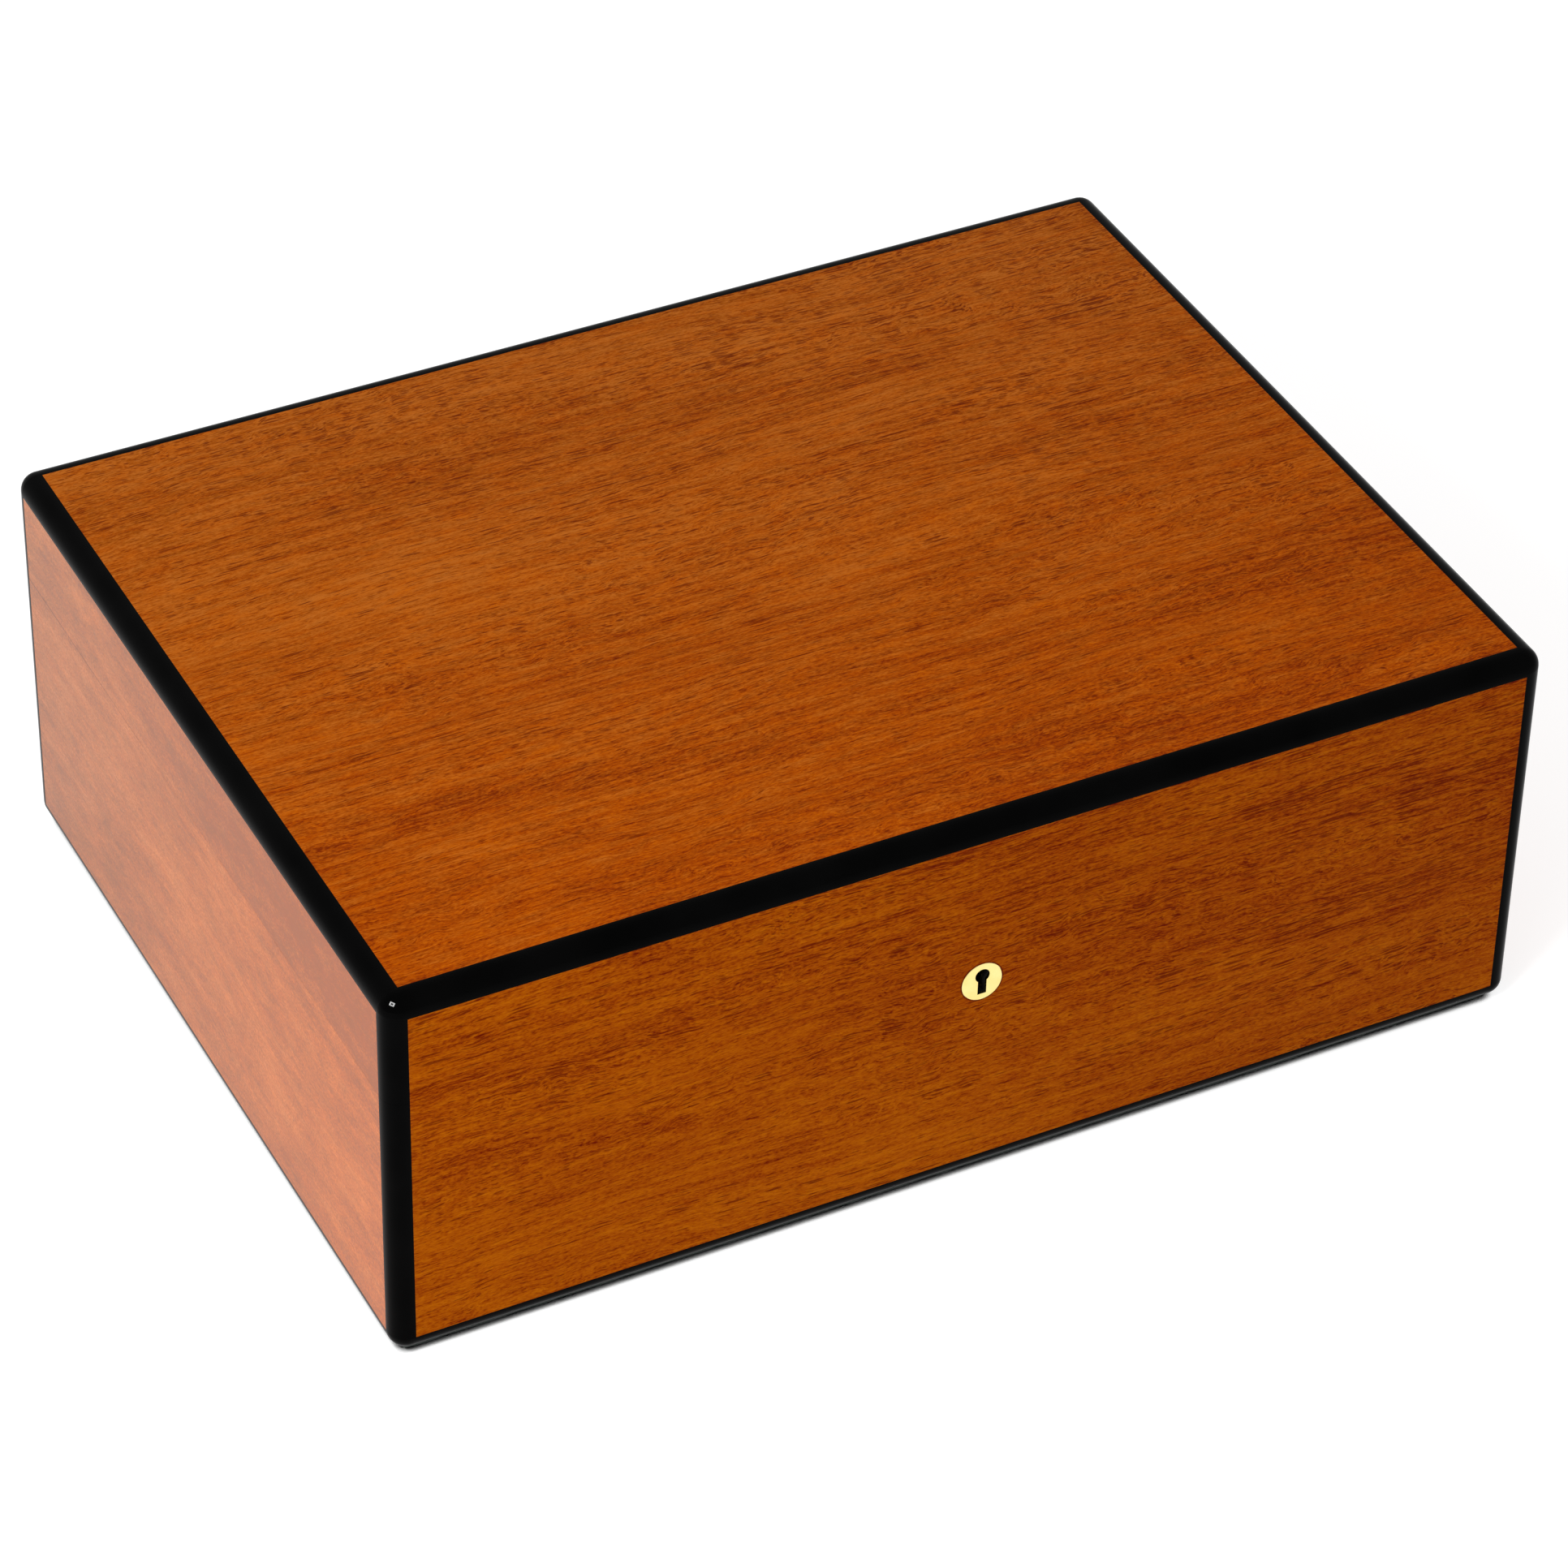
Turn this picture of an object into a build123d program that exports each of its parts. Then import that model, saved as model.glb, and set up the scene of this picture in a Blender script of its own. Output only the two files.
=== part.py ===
"""Desktop humidor: a veneered box with black lacquered edges, a hinged lid and a cedar lining.

Millimetres. +Z is up, the front with the keyhole faces -Y, and the origin is the centre of the
felt underside. The carcass is four mitred walls with a rebated floor and top, sawn apart at the
seam. Black edging sits in a rebate along every outer edge, flush with the veneer between. Inside,
the cedar lining of the base stands above the rim as a lip that the lid closes over.
"""
from build123d import *
import math
import os

# Outer sizes of the box, over the lacquer
WIDTH = 340.0
DEPTH = 255.0
BASE_HEIGHT = 86.3
LID_HEIGHT = 33.55
SEAM_GAP = 0.05
EDGING = 6.0
BOTTOM_EDGING = 5.5
EDGE_RADIUS = 5.2

# Boards and sheets
WALL = 10.0
VENEER = 0.6
PANEL = 9.0
FELT = 1.5
FELT_INSET = 3.9
FELT_CORNER_RADIUS = 1.5

# Cedar lining and the lip that seals the lid
LINING = 4.0
FLOOR_LINING = 3.0
LIP = 7.0
LIP_RELIEF = 0.5
LIP_BEVEL = 1.2
ABOVE_LIP = 0.3

# Lift-out tray, its cleats, and the two sliding dividers
TRAY_HEIGHT = 34.0
TRAY_BELOW_LIP = 10.0
TRAY_CLEARANCE = 1.5
TRAY_WALL = 5.0
TRAY_SLAT = 3.0
TRAY_SLAT_WIDTH = 17.0
TRAY_SLAT_GAP = 6.0
TRAY_SLAT_SEAT = 2.5
SCOOP_WIDTH = 56.0
SCOOP_DEPTH = 13.0
SCOOP_RADIUS = 8.0
CLEAT = 6.0
DIVIDER = 4.0
DIVIDER_CLEARANCE = 0.4
DIVIDER_TOP_GAP = 5.0
DIVIDER_TOP_RADIUS = 6.0
TRAY_RIGHT_BAY = 113.5
BASE_LEFT_BAY = 124.0

# Stop hinges: two leaves, three knuckles, and heels that meet at the open limit
HINGE_FROM_END = 65.0
HINGE_LENGTH = 38.0
HINGE_INSET = 8.5
LEAF = 3.2
BARREL_RADIUS = 2.5
AXIS_OUT = 1.0
KNUCKLE_GAP = 0.15
PIN_RADIUS = 1.0
PIN_FIT = 0.05
PIN_SHORT = 0.2
LID_OPEN_ANGLE = 95.0
STOP_PLAY_ANGLE = 0.5
MORTISE_CLEARANCE = 0.1
HINGE_SCREW_PITCH = 24.0

# Brass wood screws with countersunk heads
SCREW_RADIUS = 1.0
SCREW_HEAD_RADIUS = 1.9
SCREW_HEAD = 1.1
SCREW_LENGTH = 9.0
SCREW_CLEARANCE = 0.06

# Box lock, full mortise, with a link plate in the lid
LOCK_WIDTH = 42.0
LOCK_HEIGHT = 29.0
LOCK_THICKNESS = 5.5
LOCK_FRONT_WOOD = 2.4
LOCK_SHEET = 0.8
LOCK_FIT = 0.1
FACE_PLATE_LENGTH = 56.0
FACE_PLATE_WIDTH = 7.0
FACE_PLATE = 1.5
FACE_SCREW_PITCH = 48.0
LINK_PITCH = 18.0
LINK_THICKNESS = 1.6
LINK_WIDTH = 3.2
LINK_DROP = 7.5
LINK_BORDER = 1.1
LINK_WINDOW_WIDTH = 2.2
LINK_SLOT_CLEARANCE = 0.35
BOLT_THICKNESS = 1.5
BOLT_FINGER = 2.2
BOLT_BAR = 5.0
BOLT_HORN = 2.5
BOLT_TRAVEL = 4.5
BOLT_CLEARANCE = 0.5
BOLT_SHELF_GAP = 0.1
BOLT_ABOVE_KEY = 3.1
SHELF = 2.0
SHELF_LENGTH = 12.0
TALON_WIDTH = 5.0
TALON_DEPTH = 2.4

# Escutcheon and keyhole
ESCUTCHEON_RADIUS = 6.0
ESCUTCHEON_BELOW_RIM = 19.5
ESCUTCHEON_PROUD = 0.25
ESCUTCHEON_BEVEL = 0.15
KEYHOLE_RADIUS = 2.15
KEYHOLE_UP = 2.1
KEYHOLE_SLOT = 2.6
KEYHOLE_FOOT = 4.0

# Humidifier on its steel strip, under the lid
HUMIDIFIER_END_GAP = 38.0
HUMIDIFIER_LENGTH = 124.0
HUMIDIFIER_WIDTH = 44.0
HUMIDIFIER_DEPTH = 11.5
HUMIDIFIER_WALL = 1.6
HUMIDIFIER_RADIUS = 5.0
HUMIDIFIER_FOAM_GAP = 0.3
GRILLE = 2.0
GRILLE_BEVEL = 0.8
GRILLE_SLOT_WIDTH = 2.6
GRILLE_SLOT_LENGTH = 14.0
GRILLE_SLOT_PITCH = 6.4
GRILLE_ROW_PITCH = 18.0
GRILLE_END_MARGIN = 9.0
STRIP_LENGTH = 80.0
STRIP_WIDTH = 20.0
STRIP = 1.0

# Hygrometer under the lid
HYGROMETER_END_GAP = 47.5
HYGROMETER_RADIUS = 25.0
HYGROMETER_DEPTH = 11.0
HYGROMETER_WALL = 1.4
HYGROMETER_BACK = 1.0
BEZEL_FLANGE = 1.5
BEZEL = 2.0
BEZEL_LIP = 2.2
BEZEL_LIP_THICKNESS = 0.6
GLASS = 1.0
DIAL = 0.5
DIAL_BEHIND_GLASS = 2.2
SEAT_FIT = 0.1
MOVEMENT_RADIUS = 11.0
NEEDLE_REACH = 17.5
NEEDLE_TAIL = 6.0
NEEDLE_WIDTH = 1.6
NEEDLE_TIP_WIDTH = 0.4
NEEDLE = 0.3
NEEDLE_ABOVE_DIAL = 0.7
NEEDLE_HUB_RADIUS = 1.6
ARBOR_RADIUS = 0.6
ARBOR_FIT = 0.1
ARBOR_DEPTH = 2.0
NEEDLE_REST_ANGLE = 54.0

# Levels, from the table up
Z_UNDERSIDE = FELT
Z_RIM = Z_UNDERSIDE + BASE_HEIGHT
Z_LID = Z_RIM + SEAM_GAP
Z_TOP = Z_LID + LID_HEIGHT
Z_FLOOR = Z_UNDERSIDE + PANEL + FLOOR_LINING
Z_LIP = Z_RIM + LIP
Z_CEILING = Z_TOP - PANEL - FLOOR_LINING
Z_AXIS = Z_RIM + SEAM_GAP / 2
Y_AXIS = DEPTH / 2 + AXIS_OUT
Z_TRAY_TOP = Z_LIP - TRAY_BELOW_LIP
Z_TRAY = Z_TRAY_TOP - TRAY_HEIGHT

# Clear inside of the lining
INNER_X = WIDTH / 2 - WALL - LINING
INNER_Y = DEPTH / 2 - WALL - LINING

# Places that are counted from the ends of the box
HINGE_X = WIDTH / 2 - HINGE_FROM_END
HUMIDIFIER_X = HUMIDIFIER_END_GAP + HUMIDIFIER_LENGTH / 2 - INNER_X
HYGROMETER_X = INNER_X - HYGROMETER_END_GAP - BEZEL_FLANGE - HYGROMETER_RADIUS

# Each side as (half its length, half the size across), and its turn about Z from the front
SIDES = {
    "front": (WIDTH / 2, DEPTH / 2),
    "back": (WIDTH / 2, DEPTH / 2),
    "left": (DEPTH / 2, WIDTH / 2),
    "right": (DEPTH / 2, WIDTH / 2),
}
SIDE_ANGLES = {"front": 0, "back": 180, "left": -90, "right": 90}

parts = {}


def block(x, y, z):
    """A box between two values on each axis."""
    size = [abs(pair[1] - pair[0]) for pair in (x, y, z)]
    middle = [(pair[0] + pair[1]) / 2 for pair in (x, y, z)]
    return Pos(*middle) * Box(*size)


def plan_prism(points, z):
    """A polygon seen from above, raised between two levels."""
    face = Polygon(*points, align=None)
    return Pos(0, 0, z[0]) * extrude(face, amount=z[1] - z[0], dir=(0, 0, 1))


def side_prism(points, x):
    """A polygon in Y and Z, drawn along X between two values."""
    face = Plane.YZ * Polygon(*points, align=None)
    return Pos(x[0], 0, 0) * extrude(face, amount=x[1] - x[0], dir=(1, 0, 0))


def turned(shape, side):
    """A piece made at the front, turned to the side where it belongs."""
    return Rot(0, 0, SIDE_ANGLES[side]) * shape


def group(solids):
    """Separate solids that share one node."""
    return Compound(children=[solid for shape in solids for solid in shape.solids()])


# Carcass: walls, veneers, panels and edging


def outer_body():
    """The whole closed box over its lacquer, with every edge and corner rounded."""
    whole = block((-WIDTH / 2, WIDTH / 2), (-DEPTH / 2, DEPTH / 2), (Z_UNDERSIDE, Z_TOP))
    return fillet(whole.edges(), EDGE_RADIUS)


def wall_core(side, z):
    """A board with mitred ends, stepped back at both ends for the corner edging."""
    length, across = SIDES[side]
    inner = (length - WALL, -across + WALL)
    step = (length - EDGING, -across + EDGING)
    face = (length - EDGING, -across + VENEER)
    right = [inner, step, face]
    left = [(-x, y) for x, y in reversed(right)]
    return turned(plan_prism(right + left, z), side)


def wall_veneer(side, z):
    length, across = SIDES[side]
    sheet = block((EDGING - length, length - EDGING), (-across, -across + VENEER), z)
    return turned(sheet, side)


def rebated_panel(z_outer, z_step, z_inner):
    """A panel whose wide part fills the edging ring and whose narrow part drops between the walls."""
    wide = block(
        (EDGING - WIDTH / 2, WIDTH / 2 - EDGING),
        (EDGING - DEPTH / 2, DEPTH / 2 - EDGING),
        (z_outer, z_step),
    )
    narrow = block(
        (WALL - WIDTH / 2, WIDTH / 2 - WALL),
        (WALL - DEPTH / 2, DEPTH / 2 - WALL),
        (z_step, z_inner),
    )
    return wide + narrow


def corner_posts(body, z):
    """The four upright edging posts between two levels, each with its rounded box corner."""
    posts = []
    for side_x in (-1, 1):
        for side_y in (-1, 1):
            square = block(
                (side_x * (WIDTH / 2 - EDGING), side_x * WIDTH / 2),
                (side_y * (DEPTH / 2 - EDGING), side_y * DEPTH / 2),
                z,
            )
            posts.append(square & body)
    return group(posts)


def edging_strips(body, z):
    """The four level edging strips, fitted between the corner posts."""
    strips = []
    for side, (length, across) in SIDES.items():
        square = block((EDGING - length, length - EDGING), (-across, -across + EDGING), z)
        strips.append(turned(square, side) & body)
    return group(strips)


def make_carcass():
    body = outer_body()
    base_wall_z = (Z_UNDERSIDE + BOTTOM_EDGING, Z_RIM)
    lid_wall_z = (Z_LID, Z_TOP - EDGING)
    for side in SIDES:
        parts[f"base_{side}_wall"] = wall_core(side, base_wall_z)
        parts[f"base_{side}_veneer"] = wall_veneer(side, base_wall_z)
        parts[f"lid_{side}_wall"] = wall_core(side, lid_wall_z)
        parts[f"lid_{side}_veneer"] = wall_veneer(side, lid_wall_z)
    parts["base_floor_panel"] = rebated_panel(
        Z_UNDERSIDE, Z_UNDERSIDE + BOTTOM_EDGING, Z_UNDERSIDE + PANEL
    )
    parts["lid_top_panel"] = rebated_panel(Z_TOP - VENEER, Z_TOP - EDGING, Z_TOP - PANEL)
    parts["lid_top_veneer"] = block(
        (EDGING - WIDTH / 2, WIDTH / 2 - EDGING),
        (EDGING - DEPTH / 2, DEPTH / 2 - EDGING),
        (Z_TOP - VENEER, Z_TOP),
    )
    parts["base_corner_edging"] = corner_posts(body, (Z_UNDERSIDE, Z_RIM))
    parts["base_bottom_edging"] = edging_strips(body, (Z_UNDERSIDE, Z_UNDERSIDE + BOTTOM_EDGING))
    parts["lid_corner_edging"] = corner_posts(body, (Z_LID, Z_TOP))
    parts["lid_top_edging"] = edging_strips(body, (Z_TOP - EDGING, Z_TOP))
    felt_outline = RectangleRounded(
        WIDTH - 2 * FELT_INSET, DEPTH - 2 * FELT_INSET, FELT_CORNER_RADIUS
    )
    parts["base_felt"] = extrude(felt_outline, amount=FELT)


# Cedar lining


def mitred_lining(side, profile):
    """A lining board from its section in Y and Z at the front, with its ends mitred."""
    length, across = SIDES[side]
    outer = length - WALL
    board = side_prism(profile, (-outer, outer))
    levels = [z for _, z in profile]
    near, far = -across + WALL, -across + WALL + LINING
    plan = [(-outer, near), (outer, near), (outer - LINING, far), (LINING - outer, far)]
    return turned(board & plan_prism(plan, (min(levels), max(levels))), side)


def base_lining(side):
    """It stands above the rim as a lip, set back from the lid's wall and bevelled on top."""
    back = -SIDES[side][1] + WALL
    front = back + LINING
    lip = back + LIP_RELIEF
    profile = [
        (back, Z_FLOOR),
        (back, Z_RIM),
        (lip, Z_RIM),
        (lip, Z_LIP - LIP_BEVEL),
        (lip + LIP_BEVEL, Z_LIP),
        (front, Z_LIP),
        (front, Z_FLOOR),
    ]
    return mitred_lining(side, profile)


def lid_lining(side):
    back = -SIDES[side][1] + WALL
    front = back + LINING
    low = Z_LIP + ABOVE_LIP
    profile = [(back, low), (back, Z_CEILING), (front, Z_CEILING), (front, low)]
    return mitred_lining(side, profile)


def make_lining():
    for side in SIDES:
        parts[f"base_{side}_lining"] = base_lining(side)
    for side in ("front", "back"):
        parts[f"lid_{side}_lining"] = lid_lining(side)
    parts["lid_side_linings"] = group([lid_lining("left"), lid_lining("right")])
    across_x = (WALL - WIDTH / 2, WIDTH / 2 - WALL)
    across_y = (WALL - DEPTH / 2, DEPTH / 2 - WALL)
    parts["base_floor_lining"] = block(across_x, across_y, (Z_FLOOR - FLOOR_LINING, Z_FLOOR))
    parts["lid_ceiling_lining"] = block(
        across_x, across_y, (Z_CEILING, Z_CEILING + FLOOR_LINING)
    )


# Tray, cleats and dividers

TRAY_X = INNER_X - TRAY_CLEARANCE
TRAY_Y = INNER_Y - TRAY_CLEARANCE
TRAY_INNER_X = TRAY_X - TRAY_WALL
TRAY_INNER_Y = TRAY_Y - TRAY_WALL
TRAY_DIVIDER_X = TRAY_INNER_X - TRAY_RIGHT_BAY - DIVIDER / 2
BASE_DIVIDER_X = BASE_LEFT_BAY + DIVIDER / 2 - INNER_X
Z_TRAY_FLOOR = Z_TRAY + TRAY_SLAT


def scoop():
    """The finger scoop, cut down from the top edge of a tray end."""
    cutter = RectangleRounded(SCOOP_WIDTH, 2 * SCOOP_DEPTH, SCOOP_RADIUS)
    bar = extrude(Plane.YZ * cutter, amount=TRAY_X + TRAY_WALL, both=True)
    return Pos(0, 0, Z_TRAY_TOP) * bar


def divider(half_length, x, z):
    """An upright board across the box, with its two top corners rounded."""
    board = block((x - DIVIDER / 2, x + DIVIDER / 2), (-half_length, half_length), z)
    upright = board.edges().filter_by(Axis.X).group_by(Axis.Z)[-1]
    return fillet(upright, DIVIDER_TOP_RADIUS)


def tray_slats():
    """Boards across the tray with a gap between each, let into both long walls from below."""
    span = 2 * TRAY_INNER_X
    count = round((span - TRAY_SLAT_GAP) / (TRAY_SLAT_WIDTH + TRAY_SLAT_GAP))
    pitch = span / count
    half = (pitch - TRAY_SLAT_GAP) / 2
    reach = TRAY_INNER_Y + TRAY_SLAT_SEAT
    middles = [(index - (count - 1) / 2) * pitch for index in range(count)]
    return [block((x - half, x + half), (-reach, reach), (Z_TRAY, Z_TRAY_FLOOR)) for x in middles]


def tray_long_wall():
    """The front wall of the tray, rebated below for the ends of the slats."""
    board = block((-TRAY_X, TRAY_X), (-TRAY_Y, -TRAY_INNER_Y), (Z_TRAY, Z_TRAY_TOP))
    rebate = block(
        (-TRAY_INNER_X, TRAY_INNER_X),
        (-TRAY_INNER_Y - TRAY_SLAT_SEAT, -TRAY_INNER_Y),
        (Z_TRAY, Z_TRAY_FLOOR),
    )
    return board - rebate


def make_tray():
    end_x = (-TRAY_X, -TRAY_INNER_X)
    end = block(end_x, (-TRAY_INNER_Y, TRAY_INNER_Y), (Z_TRAY, Z_TRAY_TOP)) - scoop()
    parts["tray_long_walls"] = group([tray_long_wall(), mirror(tray_long_wall(), about=Plane.XZ)])
    parts["tray_end_walls"] = group([end, mirror(end, about=Plane.YZ)])
    parts["tray_slats"] = group(tray_slats())
    parts["tray_divider"] = divider(
        TRAY_INNER_Y - DIVIDER_CLEARANCE, TRAY_DIVIDER_X, (Z_TRAY_FLOOR, Z_TRAY_TOP - DIVIDER_TOP_GAP)
    )
    parts["base_divider"] = divider(
        INNER_Y - DIVIDER_CLEARANCE, BASE_DIVIDER_X, (Z_FLOOR, Z_TRAY - DIVIDER_CLEARANCE)
    )
    cleat = block((-INNER_X, CLEAT - INNER_X), (-INNER_Y, INNER_Y), (Z_TRAY - CLEAT, Z_TRAY))
    parts["tray_cleats"] = group([cleat, mirror(cleat, about=Plane.YZ)])


# Screws and the holes they sit in


def screw():
    """Head flush with the XY plane, shank along -Z."""
    outline = [
        (0, 0),
        (SCREW_HEAD_RADIUS, 0),
        (SCREW_RADIUS, -SCREW_HEAD),
        (SCREW_RADIUS, -SCREW_LENGTH),
        (0, -SCREW_LENGTH),
    ]
    return revolve(Plane.XZ * Polygon(*outline, align=None), Axis.Z)


def screw_hole():
    """The countersink and pilot that hold one screw, a hair wider than it all over."""
    wide = SCREW_HEAD_RADIUS + SCREW_CLEARANCE
    narrow = SCREW_RADIUS + SCREW_CLEARANCE
    tip = -SCREW_LENGTH - SCREW_CLEARANCE
    outline = [
        (0, SCREW_HEAD),
        (wide, SCREW_HEAD),
        (wide, 0),
        (narrow, -SCREW_HEAD),
        (narrow, tip),
        (0, tip),
    ]
    return revolve(Plane.XZ * Polygon(*outline, align=None), Axis.Z)


FLIP = Rot(180, 0, 0)
LOCK_Y = -DEPTH / 2 + LOCK_FRONT_WOOD + LOCK_FIT + LOCK_THICKNESS / 2
HINGE_SCREW_Y = DEPTH / 2 - HINGE_INSET / 2 - BARREL_RADIUS / 4


def hinge_screw_spots(z):
    across = (-HINGE_SCREW_PITCH / 2, HINGE_SCREW_PITCH / 2)
    return [Pos(side * HINGE_X + x, HINGE_SCREW_Y, z) for side in (-1, 1) for x in across]


def lock_screw_spots(z):
    return [Pos(x, LOCK_Y, z) for x in (-FACE_SCREW_PITCH / 2, FACE_SCREW_PITCH / 2)]


def drill(name, spots, turn=Rot(0, 0, 0)):
    """Cuts a screw hole in a part at each spot."""
    for spot in spots:
        parts[name] = parts[name] - spot * turn * screw_hole()


def make_screws():
    base_spots = hinge_screw_spots(Z_RIM) + lock_screw_spots(Z_RIM)
    lid_spots = hinge_screw_spots(Z_LID) + lock_screw_spots(Z_LID)
    parts["base_screws"] = group([spot * screw() for spot in base_spots])
    parts["lid_screws"] = group([spot * FLIP * screw() for spot in lid_spots])
    for name in ("base_back_wall", "left_hinge_base_leaf", "right_hinge_base_leaf"):
        drill(name, hinge_screw_spots(Z_RIM))
    for name in ("base_front_wall", "lock_face_plate"):
        drill(name, lock_screw_spots(Z_RIM))
    for name in ("lid_back_wall", "left_hinge_lid_leaf", "right_hinge_lid_leaf"):
        drill(name, hinge_screw_spots(Z_LID), FLIP)
    for name in ("lid_front_wall", "lock_link_plate"):
        drill(name, lock_screw_spots(Z_LID), FLIP)


# Hinges

HEEL_ANGLE = math.radians((LID_OPEN_ANGLE + STOP_PLAY_ANGLE) / 2)
KNUCKLE_END = HINGE_LENGTH / 6


def barrel(radius, x):
    return Pos((x[0] + x[1]) / 2, 0, 0) * Rot(0, 90, 0) * Cylinder(radius, x[1] - x[0])


def hinge_leaf(own, other):
    """The lower leaf about the hinge axis: a plate with a bevelled heel, and its own knuckles.

    own and other are the stretches of X that hold this leaf's knuckles and the other leaf's."""
    inner = -AXIS_OUT - HINGE_INSET
    high, low = -SEAM_GAP / 2, -SEAM_GAP / 2 - LEAF
    heel = 1 / math.tan(HEEL_ANGLE)
    profile = [(inner, high), (-high * heel, high), (-low * heel, low), (inner, low)]
    leaf = side_prism(profile, (-HINGE_LENGTH / 2, HINGE_LENGTH / 2))
    for stretch in other:
        leaf = leaf - barrel(BARREL_RADIUS + KNUCKLE_GAP, stretch)
    for stretch in own:
        leaf = leaf + barrel(BARREL_RADIUS, stretch)
    return leaf - barrel(PIN_RADIUS + PIN_FIT, (-HINGE_LENGTH, HINGE_LENGTH))


def hinge_mortise(z):
    """The cut that one pair of leaves needs in a rim, open at the back."""
    half = HINGE_LENGTH / 2 + MORTISE_CLEARANCE
    y = (DEPTH / 2 - HINGE_INSET - MORTISE_CLEARANCE, DEPTH / 2 + AXIS_OUT)
    return [
        block((side * HINGE_X - half, side * HINGE_X + half), y, z) for side in (-1, 1)
    ]


def make_hinges():
    half = HINGE_LENGTH / 2
    outer_own = KNUCKLE_END + KNUCKLE_GAP / 2
    outer_cut = KNUCKLE_END - KNUCKLE_GAP / 2
    base_leaf = hinge_leaf(
        own=[(-half, -outer_own), (outer_own, half)], other=[(-outer_own, outer_own)]
    )
    lid_leaf = hinge_leaf(
        own=[(-outer_cut, outer_cut)], other=[(-half, -outer_cut), (outer_cut, half)]
    )
    pin = barrel(PIN_RADIUS, (PIN_SHORT - half, half - PIN_SHORT))
    spots = {"left": Pos(-HINGE_X, Y_AXIS, Z_AXIS), "right": Pos(HINGE_X, Y_AXIS, Z_AXIS)}
    for side, spot in spots.items():
        parts[f"{side}_hinge_base_leaf"] = spot * base_leaf
        parts[f"{side}_hinge_lid_leaf"] = spot * mirror(lid_leaf, about=Plane.XY)
    parts["hinge_pins"] = group([spot * pin for spot in spots.values()])
    base_z = (Z_RIM - LEAF - MORTISE_CLEARANCE, Z_RIM)
    lid_z = (Z_LID, Z_LID + LEAF + MORTISE_CLEARANCE)
    for name, z in (("base", base_z), ("lid", lid_z)):
        for layer in ("wall", "veneer"):
            for cut in hinge_mortise(z):
                parts[f"{name}_back_{layer}"] = parts[f"{name}_back_{layer}"] - cut


# Lock

Z_CASE_TOP = Z_RIM - FACE_PLATE
Z_ESCUTCHEON = Z_RIM - ESCUTCHEON_BELOW_RIM
Z_KEY = Z_ESCUTCHEON + KEYHOLE_UP
Z_BOLT = Z_KEY + BOLT_ABOVE_KEY
Z_WINDOW_LOW = Z_LID - LINK_DROP + LINK_BORDER
Z_FINGER = Z_WINDOW_LOW + BOLT_CLEARANCE
LOCK_INNER = LOCK_THICKNESS / 2 - LOCK_SHEET
LINK_PLACES = (-LINK_PITCH / 2, LINK_PITCH / 2)


def keyhole(y):
    """A round hole for the key's shaft with a slot below for its bit, cut from front to back."""
    foot = KEYHOLE_UP + KEYHOLE_FOOT
    slot = Pos(0, -foot / 2) * Rectangle(KEYHOLE_SLOT, foot)
    outline = Plane.XZ * (Circle(KEYHOLE_RADIUS) + slot)
    return Pos(0, y[0], Z_KEY) * extrude(outline, amount=y[1] - y[0], dir=(0, 1, 0))


def lock_plate(z):
    """The square-ended brass plate of either half, let into its rim."""
    half_x, half_y = FACE_PLATE_LENGTH / 2, FACE_PLATE_WIDTH / 2
    return block((-half_x, half_x), (LOCK_Y - half_y, LOCK_Y + half_y), (z, z + FACE_PLATE))


def lock_case():
    """A folded sheet case, open at the top under the face plate, with two shelves for the bolt."""
    half = LOCK_WIDTH / 2
    y = (LOCK_Y - LOCK_THICKNESS / 2, LOCK_Y + LOCK_THICKNESS / 2)
    z = (Z_CASE_TOP - LOCK_HEIGHT, Z_CASE_TOP)
    hollow = block(
        (LOCK_SHEET - half, half - LOCK_SHEET),
        (LOCK_Y - LOCK_INNER, LOCK_Y + LOCK_INNER),
        (z[0] + LOCK_SHEET, z[1]),
    )
    case = block((-half, half), y, z) - hollow - keyhole((y[0], LOCK_Y))
    shelf_z = (Z_BOLT - BOLT_SHELF_GAP - SHELF, Z_BOLT - BOLT_SHELF_GAP)
    shelf = block(
        (-half, SHELF_LENGTH - half), (LOCK_Y - LOCK_INNER, LOCK_Y + LOCK_INNER), shelf_z
    )
    return case + shelf + mirror(shelf, about=Plane.YZ)


def lock_bolt():
    """A flat bolt with two fingers that slide sideways through the windows of the links."""
    y = (LOCK_Y - BOLT_THICKNESS / 2, LOCK_Y + BOLT_THICKNESS / 2)
    z_finger = (Z_FINGER, Z_FINGER + BOLT_FINGER)
    horns = []
    for place in LINK_PLACES:
        link_face = place - LINK_THICKNESS / 2
        horn_end = link_face - BOLT_TRAVEL - BOLT_CLEARANCE
        horn_start = horn_end - BOLT_HORN
        upright = block((horn_start, horn_end), y, (Z_BOLT, z_finger[1]))
        finger = block((horn_start, link_face - BOLT_CLEARANCE), y, z_finger)
        horns.append((horn_start, upright + finger))
    bar_end = LINK_PLACES[1] + LINK_THICKNESS / 2 + BOLT_CLEARANCE
    bar = block((horns[0][0], bar_end), y, (Z_BOLT, Z_BOLT + BOLT_BAR))
    talon = block(
        (-BOLT_TRAVEL / 2 - TALON_WIDTH / 2, -BOLT_TRAVEL / 2 + TALON_WIDTH / 2),
        y,
        (Z_BOLT, Z_BOLT + TALON_DEPTH),
    )
    return bar + horns[0][1] + horns[1][1] - talon


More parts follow.
